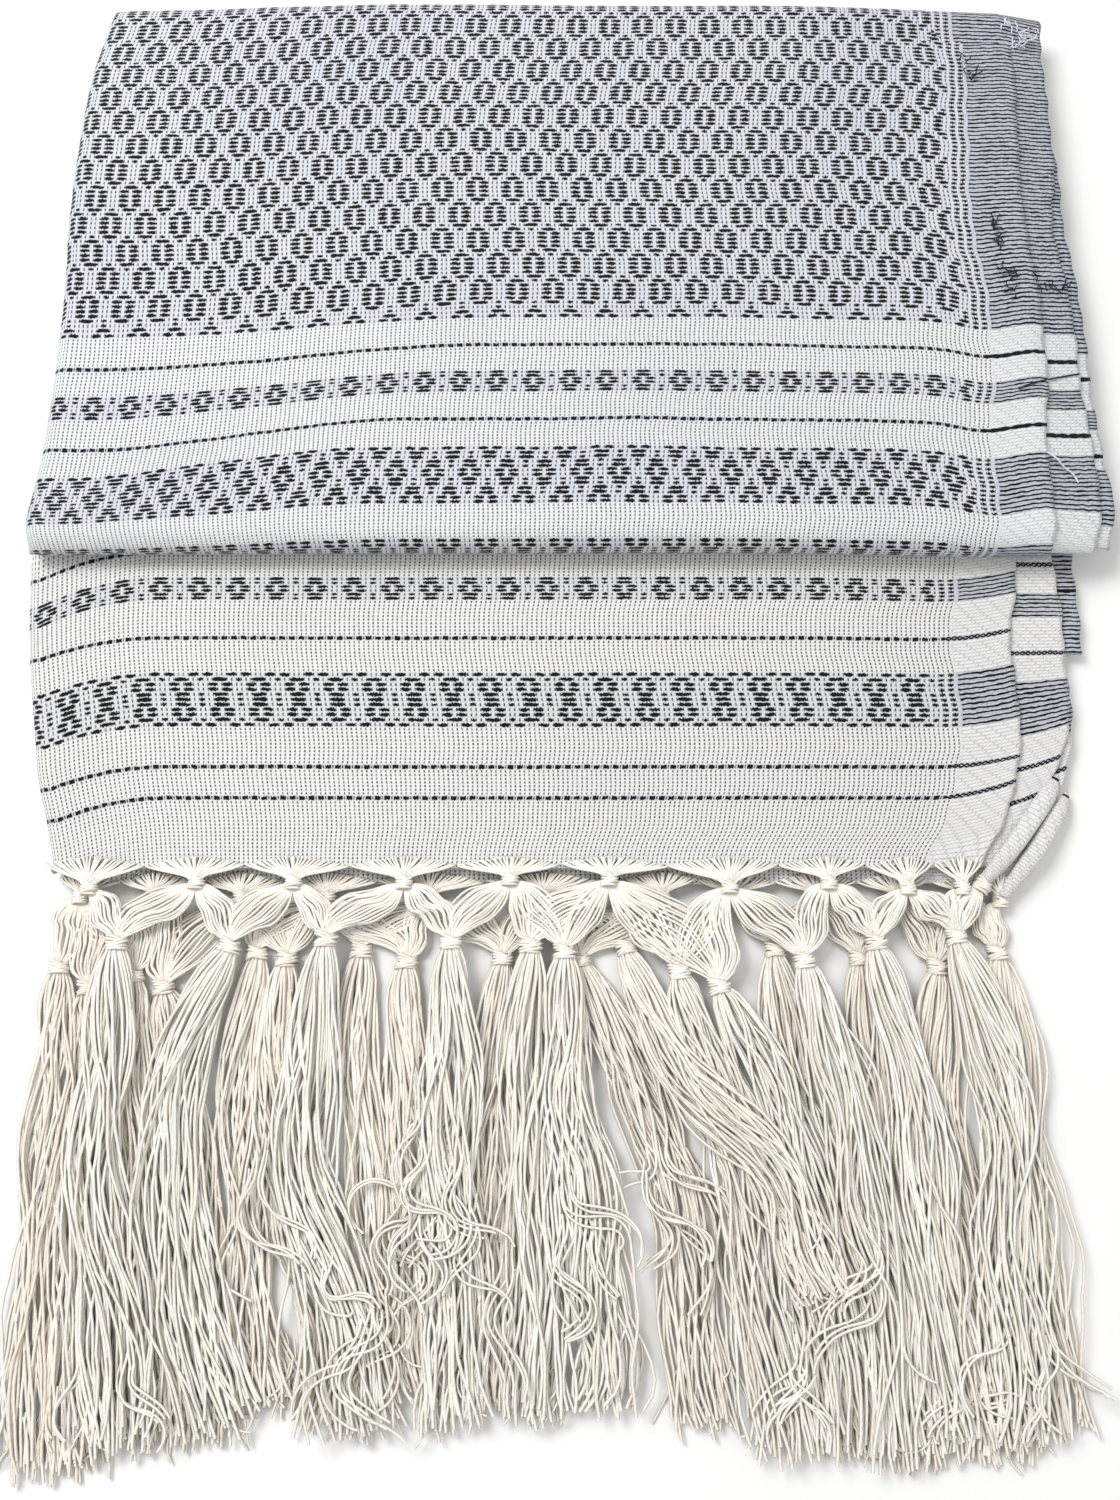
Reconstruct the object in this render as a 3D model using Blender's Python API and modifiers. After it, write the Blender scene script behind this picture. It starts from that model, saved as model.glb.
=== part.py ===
# A rebozo shawl, folded lengthwise and then crosswise, lying on a flat surface.
# +Z is up and -Y is the way that the knotted fringe points. The lengthwise fold is
# at -X and the selvedges lie stepped at +X. All sizes are in metres.
import math

import bpy
import bmesh
from mathutils import Vector

MM = 0.001

# Cloth
WALL = 1.5 * MM              # one layer, with the raised pattern threads
SEAM_GAP = 0.3 * MM
LAYER = WALL + SEAM_GAP      # from one layer to the next one under it
TURN_ROOM = 0.25 * MM        # more room inside a turn, whose stations don't line up

# Places along the length of the folded shawl
FRONT_HEM_Y = -83 * MM
BACK_HEM_Y = -88 * MM
FOLD_Y = 31 * MM             # the crosswise fold that the lower stretch comes out from
TUCK_Y = 52 * MM             # how far the lower stretch goes in under that fold
TOP_Y = 274 * MM
TURN_END_Y = -3 * MM         # end of the middle stretch that shows at the right
THIRD_END_Y = 46 * MM        # end of the third layer's corner

# From the frame that the plans below are drawn in to the middle of the footprint
TO_MIDDLE = (1.0 * MM, 2.6 * MM, 0)

# Heights
LOWER_TOP = 8.8 * MM         # lower stretch at the hem
LOWER_RISE = 4.0 * MM        # how much thicker it is under the fold
BACK_HEM_TOP = 4.8 * MM      # the hem of the layers behind, past the front hem
UPPER_TOP = 27.5 * MM        # upper stretch at its middle
EDGE_DROP = 3.5 * MM         # how much lower it is at the lengthwise fold
SELVEDGE_DROP = 5.0 * MM     # and towards the selvedges
SELVEDGE_FALL = 7.0 * MM     # how far the free selvedges sink past the layers below
WAVE = 0.7 * MM              # slack of the cloth over the layers below

# Roundness of the folds
LOWER_SIDE_ROUND = 4.6 * MM
UPPER_SIDE_ROUND = 5.4 * MM
END_ROUND = 7.2 * MM

# Where the stepped selvedges start, under the layer that covers them, and where the
# upper ones leave the layers that they rest on
UPPER_STRIP_X = 139 * MM
LOWER_STRIP_X = 112 * MM
STRIP_MIDDLE_X = 155 * MM
REST_END_X = 172 * MM

BLOCK_EDGE_X = 172 * MM      # where the hidden layers end short of the selvedges
FOOT = 1.2 * MM              # from the last leaning face of a turn to the flat underside
SIDE_GAP = 0.5 * MM          # from the stepped part of the hidden layers to the full part

# Stations along the upper stretch, between the turns at its two ends
UPPER_STATIONS = [y * MM for y in (54, 70, 100, 120, 140, 165, 200, 240, 258)]

# The hidden layers that join the lower stretch to the upper one
NECK_MIDDLE = (-16 * MM, 158 * MM, 12 * MM)
NECK_SIZE = (305 * MM, 190 * MM, 15 * MM)

LOWER_STATIONS = [y * MM for y in (-66, -50, -35, -18, 0, 17, 35)]
HEM_STEP = 1.0 * MM          # over which the hidden layers step down at the front hem

# Plan of the upper stretch in mm: place along the length, lengthwise fold, and the
# selvedges of its front layer, of the one behind it and of the third one
UPPER_PLAN = [
    # y, fold, front, behind, third
    (31, -199.5, 172.5, 189.0, 196.0),
    (42, -201.5, 174.5, 192.5, 198.0),
    (54, -200.0, 174.5, 194.5, 201.0),
    (70, -198.0, 173.5, 193.5, 198.0),
    (100, -196.5, 176.5, 191.0, 196.0),
    (140, -196.0, 176.0, 190.0, 195.0),
    (165, -197.0, 173.5, 186.0, 192.0),
    (200, -196.5, 174.0, 190.0, 191.5),
    (240, -194.0, 176.5, 190.0, 188.0),
    (274, -188.0, 177.0, 191.0, 186.0),
]

# Plan of the lower stretch in mm, with the edge of the shawl's other end last
LOWER_PLAN = [
    # y, fold, front, behind, other_end
    (-89, -183.0, 137.0, 146.0, 155.0),
    (-83, -184.5, 141.0, 151.0, 160.0),
    (-66, -188.5, 151.0, 164.0, 171.0),
    (-50, -193.0, 156.5, 174.5, 178.0),
    (-35, -195.5, 159.5, 178.0, 179.5),
    (-12, -199.0, 159.0, 178.5, 179.5),
    (4, -201.0, 158.5, 178.5, 179.5),
    (17, -202.0, 161.5, 178.5, 179.5),
    (35, -203.0, 163.0, 177.5, 179.0),
    (52, -202.5, 163.0, 177.0, 178.0),
]
Y, FOLD, FRONT, BEHIND, THIRD = range(5)
OTHER_END = THIRD
TURN_EDGE_X = 185.5 * MM

# First row of fringe knots in mm: the front ones, and those of the end behind
FRONT_KNOTS = [(-170, -90.5), (-133, -88.5), (-99, -88.5), (-60.5, -88.5), (-23.5, -87.5),
               (11, -87.5), (53, -90), (87.5, -88.5), (115, -90.5), (134, -90.5)]
BACK_KNOTS = [(x, -93) for x in (-174.5, -148, -118, -88, -52, -12, 30, 55, 84, 112, 140)]

# Tassels in mm: second knot, then the middle of the threads 150, 190 and 230 mm
# towards the fringe's end, then the tips and how wide they spread there
UNDER, OVER, TOPMOST = range(3)
TASSELS = [
    # name, lies, knot_x, knot_y, x_150, x_190, x_230, tip_x, tip_y, spread
    ("b01", UNDER, -180, -118, -179, -178, -178, -175, -277, 12),
    ("b02", UNDER, -169, -125, -166.5, -164.5, -163, -159, -276, 12),
    ("b03", UNDER, -154, -121, -151.5, -147, -144, -137, -269, 12),
    ("b04", UNDER, -143, -125, -136, -129.5, -123.5, -121, -268, 14),
    ("b05", UNDER, -111.5, -113, -114, -112, -105.5, -99, -257, 11),
    ("b06", UNDER, -101, -115, -102, -96, -82, -82, -264, 15),
    ("b07", UNDER, -75, -112, -75, -70, -65, -61, -254, 12),
    ("b08", UNDER, -59, -116, -60, -55, -50, -46, -256, 12),
    ("b09", UNDER, -26, -115, -29, -30, -28, -26, -256, 14),
    ("b10", UNDER, 1, -116, 17, 33, 38, 41, -264, 16),
    ("b11", TOPMOST, 17, -111, 34, 66, 74, 77, -226, 13),
    ("b12", UNDER, 69, -112, 72, 79, 85, 92, -273, 15),
    ("b13", UNDER, 98, -115, 102, 108, 112, 113, -273, 13),
    ("b14", UNDER, 125, -118, 122, 124, 131, 134, -275, 15),
    ("b15", UNDER, 146, -113, 149, 151, 152, 157, -266, 14),
    ("f01", OVER, -159, -110, -160, -161, -154, -148, -268, 18),
    ("f02", OVER, -120, -111, -136, -134, -125, -114, -265, 19),
    ("f03", OVER, -87, -109, -91, -90, -76, -69, -264, 16),
    ("f04", OVER, -43.5, -110, -43, -43, -40, -40, -266, 16),
    ("f05", OVER, -16, -111, -17, -16, -13, -13, -261, 14),
    ("f06", OVER, -4.5, -113, -3, 2, 9, 9, -258, 15),
    ("f07", OVER, 35, -120, 43, 55, 60, 66, -272, 16),
    ("f08", OVER, 48.5, -125, 61, 73, 80, 85, -270, 15),
    ("f09", OVER, 78, -116, 87, 94, 102, 104, -273, 14),
    ("f10", OVER, 103, -110, 112, 115, 119, 122, -268, 14),
    ("f11", OVER, 131, -108, 143, 143, 142, 142, -271, 17),
]
LOCKS = 7                    # locks of thread in one tassel

# A second knot, with its wraps
HEAD_WIDTH = 8.4 * MM
HEAD_LENGTH = 10 * MM
HEAD_HEIGHT = 4.6 * MM

# A first knot, and the half bundles that go down from it
KNOT_WIDTH = 9 * MM
KNOT_LENGTH = 8.4 * MM
KNOT_HEIGHT = {OVER: 5.4 * MM, UNDER: 4.2 * MM}
KNOT_Z = {OVER: 8.4 * MM, UNDER: 3.0 * MM}
BUNDLE_RADIUS = 1.7 * MM
STRIP_DEPTH = 4 * MM         # woven-in warp ends between the hem and the knots
STRIP_HEIGHT = 2.2 * MM
STRIP_BELOW = 0.4 * MM       # how far the strip's middle is under the knots' middle

# Heights of a tassel's threads: at its knot, then 150, 190 and 230 mm out, and at the tips
THREAD_Z = {
    UNDER: (2.8, 1.8, 1.7, 1.7, 1.4),
    OVER: (7.8, 6.7, 6.2, 6.0, 5.0),
    TOPMOST: (2.8, 10.2, 10.4, 10.4, 10.0),
}
LOCK_STEP_Z = 1.7            # every other lock lies this much higher
STATIONS = (-150, -190, -230)

COLORS = {
    "cool_white": (0.72, 0.73, 0.75, 1),
    "cream": (0.80, 0.77, 0.70, 1),
    "shade": (0.55, 0.53, 0.49, 1),
    "pattern": (0.30, 0.31, 0.34, 1),
    "thread": (0.84, 0.80, 0.71, 1),
    "back_thread": (0.70, 0.65, 0.55, 1),
}


def clear_scene():
    for item in list(bpy.data.objects):
        bpy.data.objects.remove(item, do_unlink=True)


def new_collection(name):
    group = bpy.data.collections.new(name)
    bpy.context.scene.collection.children.link(group)
    return group


def cotton(name, color):
    material = bpy.data.materials.new(name)
    material.use_nodes = True
    shader = material.node_tree.nodes["Principled BSDF"]
    shader.inputs["Base Color"].default_value = color
    shader.inputs["Roughness"].default_value = 0.9
    shader.inputs["Metallic"].default_value = 0
    return material


def plan_x(plan, column, y):
    """The x of one column of a plan table at a place along the length."""
    rows = [(row[Y] * MM, row[column] * MM) for row in plan]
    if y <= rows[0][0]:
        return rows[0][1]
    for (y0, x0), (y1, x1) in zip(rows, rows[1:]):
        if y <= y1:
            return x0 + (x1 - x0) * (y - y0) / (y1 - y0)
    return rows[-1][1]


def ease(t):
    t = min(max(t, 0), 1)
    return t * t * (3 - 2 * t)


def wave(x, y):
    """Slack of the cloth: long low swells, a few to the width."""
    across = math.sin(x / (31 * MM) + y / (70 * MM))
    along = math.sin(y / (37 * MM) - x / (90 * MM))
    return WAVE * (0.6 * across + 0.4 * along)


def lower_top(x, y):
    rise = LOWER_RISE * ease((y - FRONT_HEM_Y) / (TUCK_Y - FRONT_HEM_Y))
    crown = 1 - 0.3 * abs(x / (200 * MM)) ** 3
    side = 1 - 0.8 * ease((x - 80 * MM) / (80 * MM))
    return LOWER_TOP + rise * crown * side + 0.5 * wave(x, y) * crown


def upper_top(x, y):
    left = EDGE_DROP * ease((-x - 60 * MM) / (140 * MM))
    right = SELVEDGE_DROP * ease((x - 60 * MM) / (150 * MM))
    fall = SELVEDGE_FALL * max(0, (x - REST_END_X) / (30 * MM))
    far = 1.5 * MM * ease((y - 150 * MM) / (120 * MM))
    return UPPER_TOP - left - right - fall - far + wave(x, y)


def upper_base(x, y):
    return lower_top(x, y) + SEAM_GAP


def roundness(distance, radius):
    """0 at the turn of a fold, 1 where the layer lies flat."""
    if distance >= radius:
        return 1
    return math.sqrt(max(0, 1 - (1 - distance / radius) ** 2))


def turn(radius, degrees):
    """Distances in from a fold's turn, at these angles round it."""
    return [radius * (1 - math.cos(math.radians(a))) for a in degrees]


def grid_mesh(name, rows, top, bottom=None, band=None, walls=()):
    """A sheet over a grid of places; rows[j][i] is (x, y).

    top and bottom give heights. band holds the cells that also have an underside.
    A place where top and bottom agree is one point. walls names the sides of a
    closed body that stand upright: low, high, right.
    """
    mesh = bpy.data.meshes.new(name)
    body = bmesh.new()
    upper, lower = [], []
    for j, row in enumerate(rows):
        upper.append([])
        lower.append([])
        for i, (x, y) in enumerate(row):
            z = top(i, j, x, y)
            point = body.verts.new((x, y, z))
            upper[j].append(point)
            low = bottom(i, j, x, y) if bottom else None
            if low is None:
                lower[j].append(None)
            elif abs(low - z) < 1e-6:
                lower[j].append(point)
            else:
                lower[j].append(body.verts.new((x, y, low)))

    def face(*points):
        corners = [p for k, p in enumerate(points) if p is not points[k - 1]]
        if len(corners) > 2:
            body.faces.new(corners)

    last_j, last_i = len(rows) - 1, len(rows[0]) - 1
    for j in range(last_j):
        for i in range(last_i):
            u, v = upper[j], upper[j + 1]
            face(u[i], u[i + 1], v[i + 1], v[i])
            if bottom and (band is None or band(i, j)):
                u, v = lower[j], lower[j + 1]
                face(v[i], v[i + 1], u[i + 1], u[i])
    if "right" in walls:
        for j in range(last_j):
            face(lower[j][-1], lower[j + 1][-1], upper[j + 1][-1], upper[j][-1])
    if "low" in walls:
        for i in range(last_i):
            face(lower[0][i], lower[0][i + 1], upper[0][i + 1], upper[0][i])
    if "high" in walls:
        for i in range(last_i):
            face(lower[-1][i + 1], lower[-1][i], upper[-1][i], upper[-1][i + 1])
    loose = [v for v in body.verts if not v.link_faces]
    bmesh.ops.delete(body, geom=loose, context="VERTS")
    body.to_mesh(mesh)
    body.free()
    return mesh


def add_object(name, mesh, group, material=None):
    item = bpy.data.objects.new(name, mesh)
    item.parent = bpy.data.objects["footprint_middle"]
    group.objects.link(item)
    if material:
        mesh.materials.append(material)
    return item


def give_wall(item):
    solid = item.modifiers.new("cloth wall", "SOLIDIFY")
    solid.thickness = WALL
    solid.offset = -1
    solid.use_even_offset = True
    return item


def spaced(start, end, count):
    return [start + (end - start) * k / (count - 1) for k in range(count)]


def across_places(y, left, right, radius, angles, count):
    """Places from the lengthwise fold to an edge: round the turn, then evenly."""
    turned = [left + d for d in turn(radius, angles)]
    return [(x, y) for x in turned + spaced(turned[-1], right, count)[1:]]


ANGLES = (0, 30, 60, 90)     # stations round a fold's turn
UNDER_STATIONS = 2           # how many of them the underside of a wrap follows


def upper_front(group, material):
    """Front layer of the upper stretch, wrapped round the fold at its side and ends."""
    arc = turn(END_ROUND, ANGLES)
    low = [FOLD_Y + d for d in arc]
    high = [TOP_Y - d for d in reversed(arc)]
    ys = low + UPPER_STATIONS + high
    rows = [across_places(y, plan_x(UPPER_PLAN, FOLD, y), UPPER_STRIP_X, UPPER_SIDE_ROUND,
                          ANGLES, 8)
            + [(x, y) for x in (STRIP_MIDDLE_X, REST_END_X, plan_x(UPPER_PLAN, FRONT, y))]
            for y in ys]

    def shape(x, y):
        return (roundness(x - plan_x(UPPER_PLAN, FOLD, y), UPPER_SIDE_ROUND)
                * roundness(y - FOLD_Y, END_ROUND) * roundness(TOP_Y - y, END_ROUND))

    def middle(x, y):
        return (upper_top(x, y) + upper_base(x, y)) / 2

    def top(i, j, x, y):
        return middle(x, y) + (upper_top(x, y) - middle(x, y)) * shape(x, y)

    def bottom(i, j, x, y):
        return middle(x, y) - (middle(x, y) - upper_base(x, y)) * shape(x, y)

    def band(i, j):
        return (i < UNDER_STATIONS or j < UNDER_STATIONS
                or j >= len(ys) - 1 - UNDER_STATIONS)

    mesh = grid_mesh("upper_front", rows, top, bottom, band)
    return give_wall(add_object("upper_front", mesh, group, material))


def lower_front(group, material):
    """Front layer of the lower stretch, wrapped round the lengthwise fold."""
    ys = [FRONT_HEM_Y] + LOWER_STATIONS + [TUCK_Y]
    rows = [across_places(y, plan_x(LOWER_PLAN, FOLD, y), plan_x(LOWER_PLAN, FRONT, y),
                          LOWER_SIDE_ROUND, ANGLES, 10) for y in ys]

    def shape(x, y):
        return roundness(x - plan_x(LOWER_PLAN, FOLD, y), LOWER_SIDE_ROUND)

    def top(i, j, x, y):
        half = lower_top(x, y) / 2
        return half + half * shape(x, y)

    def bottom(i, j, x, y):
        half = lower_top(x, y) / 2
        return half - half * shape(x, y)

    mesh = grid_mesh("lower_front", rows, top, bottom, lambda i, j: i < UNDER_STATIONS)
    return give_wall(add_object("lower_front", mesh, group, material))


def upper_strip_xs(edge):
    return [UPPER_STRIP_X, STRIP_MIDDLE_X, REST_END_X, edge]


def lower_strip_xs(edge):
    return spaced(LOWER_STRIP_X, edge, 3)


def edge_strip(name, group, material, edge_of, xs_to, surface, level, ys, round_ends=0):
    """The selvedge strip of a layer that shows beside the layers above it."""
    rows = [[(x, y) for x in xs_to(edge_of(y))] for y in ys]

    def top(i, j, x, y):
        flat = surface(x, y) - level * LAYER
        if not round_ends:
            return flat
        middle = (upper_top(x, y) + upper_base(x, y)) / 2
        bend = roundness(y - ys[0], round_ends) * roundness(ys[-1] - y, round_ends)
        return middle + (flat - middle) * bend

    mesh = grid_mesh(name, rows, top)
    return give_wall(add_object(name, mesh, group, material))


def upper_strips(group, paint):
    """The two layers whose selvedges step out beside the upper stretch."""
    radius = END_ROUND - LAYER
    low = [FOLD_Y + LAYER + d for d in turn(radius, ANGLES)]
    high = [TOP_Y - LAYER - d for d in reversed(turn(radius, ANGLES))]
    edge_strip("upper_behind", group, paint["cream"],
               lambda y: plan_x(UPPER_PLAN, BEHIND, y), upper_strip_xs, upper_top, 1,
               low + UPPER_STATIONS + high, radius)
    edge_strip("upper_third", group, paint["cool_white"],
               lambda y: plan_x(UPPER_PLAN, THIRD, y), upper_strip_xs, upper_top, 2,
               [THIRD_END_Y] + UPPER_STATIONS)


def lower_strips(group, paint):
    """The layers whose selvedges step out beside the lower stretch."""
    lower_ys = [y * MM for y in (-66, -50, -35, -12, 4, 17, 35)]
    edge_strip("lower_behind", group, paint["cream"],
               lambda y: plan_x(LOWER_PLAN, BEHIND, y), lower_strip_xs, lower_top, 1,
               [FRONT_HEM_Y] + lower_ys + [TUCK_Y])
    edge_strip("middle_turn", group, paint["pattern"],
               lambda y: TURN_EDGE_X, lower_strip_xs, lower_top, 2,
               [TURN_END_Y, 17 * MM, 35 * MM, TUCK_Y])
    for name, level in (("other_end_front", 2), ("other_end_behind", 3)):
        edge_strip(name, group, paint["cream"],
                   lambda y: plan_x(LOWER_PLAN, OTHER_END, y), lower_strip_xs, lower_top,
                   level, [BACK_HEM_Y, -66 * MM, -50 * MM, TURN_END_Y - SEAM_GAP])


def as_guide(item, guides):
    for group in list(item.users_collection):
        group.objects.unlink(item)
    guides.objects.link(item)
    item.hide_render = True
    item.display_type = "WIRE"
    return item


def join_with(item, other, label):
    union = item.modifiers.new(label, "BOOLEAN")
    union.operation = "UNION"
    union.solver = "EXACT"
    union.object = other


def turn_columns():
    """Columns of a hidden body's grid: round its lengthwise turn, then evenly across."""
    columns = [("turn", a) for a in (0, 30, 60)] + [("foot", 60), ("turn", 90)]
    return columns + [("share", s) for s in spaced(0, 1, 7)[1:]]


def block_mesh():
    """Hidden layers of the upper stretch, stepped down under its selvedge strips."""
    side = UPPER_SIDE_ROUND
    columns = turn_columns()
    columns += [("strip", x) for x in (UPPER_STRIP_X - SEAM_GAP, STRIP_MIDDLE_X, REST_END_X)]

    def inset_of(column):
        return (3 if columns[column][0] == "strip" else 1) * LAYER + TURN_ROOM

    def row_places(j):
        places = []
        for i, (kind, value) in enumerate(columns):
            inset = inset_of(i)
            arc = turn(END_ROUND - inset, (0, 30, 60))
            arc += [arc[-1] + min(FOOT, arc[-1] / 2), END_ROUND - inset]
            low = [FOLD_Y + inset + d for d in arc]
            high = [TOP_Y - inset - d for d in reversed(arc)]
            y = (low + UPPER_STATIONS + high)[j]
            left = plan_x(UPPER_PLAN, FOLD, y) + inset
            radius = side - inset
            if kind == "turn":
                x = left + turn(radius, (value,))[0]
            elif kind == "foot":
                x = left + turn(radius, (value,))[0] + FOOT
            elif kind == "share":
                end = UPPER_STRIP_X - SEAM_GAP - SIDE_GAP
                x = left + radius + (end - left - radius) * value
            else:
                x = value
            places.append((x, y))
        return places

    last = len(UPPER_STATIONS) + 9
    rows = [row_places(j) for j in range(last + 1)]

    def shape(i, x, y):
        inset = inset_of(i)
        ends = END_ROUND - inset
        bend = (roundness(y - FOLD_Y - inset, ends)
                * roundness(TOP_Y - inset - y, ends))
        if columns[i][0] == "strip":
            return bend
        return bend * roundness(x - plan_x(UPPER_PLAN, FOLD, y) - inset, side - inset)

    def middle(x, y):
        return (upper_top(x, y) + upper_base(x, y)) / 2

    def top(i, j, x, y):
        full = upper_top(x, y) - inset_of(i) - middle(x, y)
        return middle(x, y) + full * shape(i, x, y)

    def bottom(i, j, x, y):
        bend = shape(i, x, y)
        turning = i <= 2 or j <= 2 or j >= last - 2
        if turning:
            return middle(x, y) - (middle(x, y) - upper_base(x, y) - LAYER) * bend
        return upper_base(x, y) + SEAM_GAP

    return grid_mesh("hidden_folds", rows, top, bottom, walls=("right",))


def slab_mesh():
    """Hidden layers of the lower stretch, flat on the surface that it lies on."""
    side = LOWER_SIDE_ROUND
    far = TUCK_Y + WALL
    arc = [TOP_Y - WALL - d for d in reversed(turn(side, ANGLES))]
    ys = [BACK_HEM_Y, FRONT_HEM_Y, FRONT_HEM_Y + HEM_STEP] + LOWER_STATIONS
    ys += [far, far + SIDE_GAP] + UPPER_STATIONS[1:-1] + arc
    columns = turn_columns()
    columns += [("strip", s) for s in (0, 0.5, 1)]

    def inset_of(i, y):
        if y > far + SIDE_GAP / 2:
            return 0
        return 4 * LAYER if columns[i][0] == "strip" else LAYER

    def fold_x(y):
        return plan_x(LOWER_PLAN if y <= far + SIDE_GAP else UPPER_PLAN, FOLD, y)

    def edge_x(y):
        return min(plan_x(LOWER_PLAN, BEHIND, y), BLOCK_EDGE_X) - 6 * MM

    rows = []
    for y in ys:
        row = []
        for i, (kind, value) in enumerate(columns):
            inset = inset_of(0, y)
            left = fold_x(y) + inset
            radius = side - inset
            if kind == "turn":
                x = left + turn(radius, (value,))[0]
            elif kind == "foot":
                x = left + turn(radius, (value,))[0] + FOOT
            elif kind == "share":
                end = LOWER_STRIP_X - SEAM_GAP - SIDE_GAP
                x = left + radius + (end - left - radius) * value
            else:
                x = LOWER_STRIP_X - SEAM_GAP + (edge_x(y) - LOWER_STRIP_X) * value
            row.append((x, y))
        rows.append(row)

    def shape(x, y):
        inset = inset_of(0, y)
        return (roundness(x - fold_x(y) - inset, side - inset)
                * roundness(TOP_Y - WALL - y, side))

    def top(i, j, x, y):
        half = lower_top(x, y) / 2
        height = half + (half - inset_of(i, y)) * shape(x, y)
        if columns[i][0] == "strip" and y <= far:
            height = lower_top(x, y) - inset_of(i, y)
        return min(height, BACK_HEM_TOP) if y <= FRONT_HEM_Y else height

    def bottom(i, j, x, y):
        half = lower_top(x, y) / 2
        if i <= 2 or j >= len(ys) - 3:
            return half - (half - inset_of(0, y)) * shape(x, y)
        return 0

    return grid_mesh("slab", rows, top, bottom, walls=("right", "low"))


def hidden_folds(group, guides, material):
    """One rounded body for the layers that the photo's side of the shawl hides."""
    item = add_object("hidden_folds", block_mesh(), group, material)
    slab = as_guide(add_object("slab", slab_mesh(), group), guides)
    bpy.ops.mesh.primitive_cube_add(size=1, location=NECK_MIDDLE)
    neck = bpy.context.object
    neck.name = "neck"
    neck.scale = NECK_SIZE
    neck.parent = bpy.data.objects["footprint_middle"]
    as_guide(neck, guides)
    join_with(item, slab, "with the lower layers")
    join_with(item, neck, "with the layers between")
    return item


def lock_section(guides):
    """The three-sided section that every lock of thread is drawn along."""
    outline = bpy.data.curves.new("lock_section", "CURVE")
    outline.dimensions = "2D"
    spline = outline.splines.new("POLY")
    spline.points.add(2)
    for k, point in enumerate(spline.points):
        angle = math.radians(90 + 120 * k)
        point.co = (math.cos(angle), math.sin(angle), 0, 1)
    spline.use_cyclic_u = True
    item = bpy.data.objects.new("lock_section", outline)
    guides.objects.link(item)
    item.hide_render = True
    item.display_type = "WIRE"
    return item


def thread_bundle(name, paths, section, group):
    """Three-sided locks of thread along their paths, as one mesh of closed bodies."""
    curve = bpy.data.curves.new(name, "CURVE")
    curve.dimensions = "3D"
    curve.bevel_mode = "OBJECT"
    curve.bevel_object = section
    curve.use_fill_caps = True
    for path in paths:
        spline = curve.splines.new("POLY")
        spline.points.add(len(path) - 1)
        for point, (place, radius) in zip(spline.points, path):
            point.co = (*place, 1)
            point.radius = radius
    item = bpy.data.objects.new(name, curve)
    group.objects.link(item)
    evaluated = item.evaluated_get(bpy.context.evaluated_depsgraph_get())
    mesh = bpy.data.meshes.new_from_object(evaluated)
    body = bmesh.new()
    body.from_mesh(mesh)
    bmesh.ops.remove_doubles(body, verts=body.verts, dist=0.01 * MM)
    bmesh.ops.recalc_face_normals(body, faces=body.faces)
    body.to_mesh(mesh)
    body.free()
    bpy.data.objects.remove(item, do_unlink=True)
    return mesh


def ball(name, centre, size):
    """A knot's body: a round form of this width, length and height."""
    mesh = bpy.data.meshes.new(name)
    body = bmesh.new()
    bmesh.ops.create_uvsphere(body, u_segments=8, v_segments=4, radius=0.5)
    for vert in body.verts:
        vert.co = Vector(centre) + Vector([c * s for c, s in zip(vert.co, size)])
    body.to_mesh(mesh)
    body.free()
    return mesh


def lock_paths(row):
    """Centre lines of one tassel's locks, fanned out evenly across its flow."""
    name, lies, knot_x, knot_y, x150, x190, x230, tip_x, tip_y, spread = row
    stops = [(knot_x, knot_y - 1.5)]
    stops += [(x, y) for x, y in zip((x150, x190, x230), STATIONS) if y > tip_y + 12]
    stops += [(tip_x, tip_y)]
    heights = THREAD_Z[lies][:len(stops) - 1] + (THREAD_Z[lies][-1],)
    widths = [6.0] + [9.0, 0.78 * spread, 0.92 * spread][:len(stops) - 2] + [spread]
    paths = []
    for k in range(LOCKS):
        share = k / (LOCKS - 1) - 0.5
        uneven = 2.0 * math.sin(k * 2.4 + knot_x)
        path = []
        for n, ((x, y), z, width) in enumerate(zip(stops, heights, widths)):
            before, after = stops[max(n - 1, 0)], stops[min(n + 1, len(stops) - 1)]
            flow = Vector((after[0] - before[0], after[1] - before[1])).normalized()
            across = Vector((-flow.y, flow.x) if n else (1, 0)) * share * width
            tip = n == len(stops) - 1
            place = (x + across.x, y + across.y + (uneven if tip else 0),
                     z + (LOCK_STEP_Z * (k % 2) if n else 0))
            radius = (0.42 if n in (0, len(stops) - 1) else 0.62) * width / (LOCKS - 1)
            path.append((Vector(place) * MM, radius * MM))
        paths.append(path)
    return paths


def bundle_path(head, knot, side, lies):
    """A half bundle from a second knot up to the first knot on one side of it."""
    root = Vector((head.x + side * 2.2 * MM, head.y + 2.2 * MM, head.z))
    centre = Vector((knot[0] * MM, knot[1] * MM, KNOT_Z[lies]))
    belly = root.lerp(centre, 0.5) + Vector((-side * 1.2 * MM, 1.2 * MM, 0))
    way = (belly - centre).normalized()
    reach = 1 / math.sqrt((2 * way.x / KNOT_WIDTH) ** 2 + (2 * way.y / KNOT_LENGTH) ** 2
                          + (2 * way.z / KNOT_HEIGHT[lies]) ** 2)
    end = centre + way * (reach + 2 * SEAM_GAP)
    return [(root, BUNDLE_RADIUS * 0.9), (belly, BUNDLE_RADIUS), (end, BUNDLE_RADIUS * 0.6)]


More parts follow.
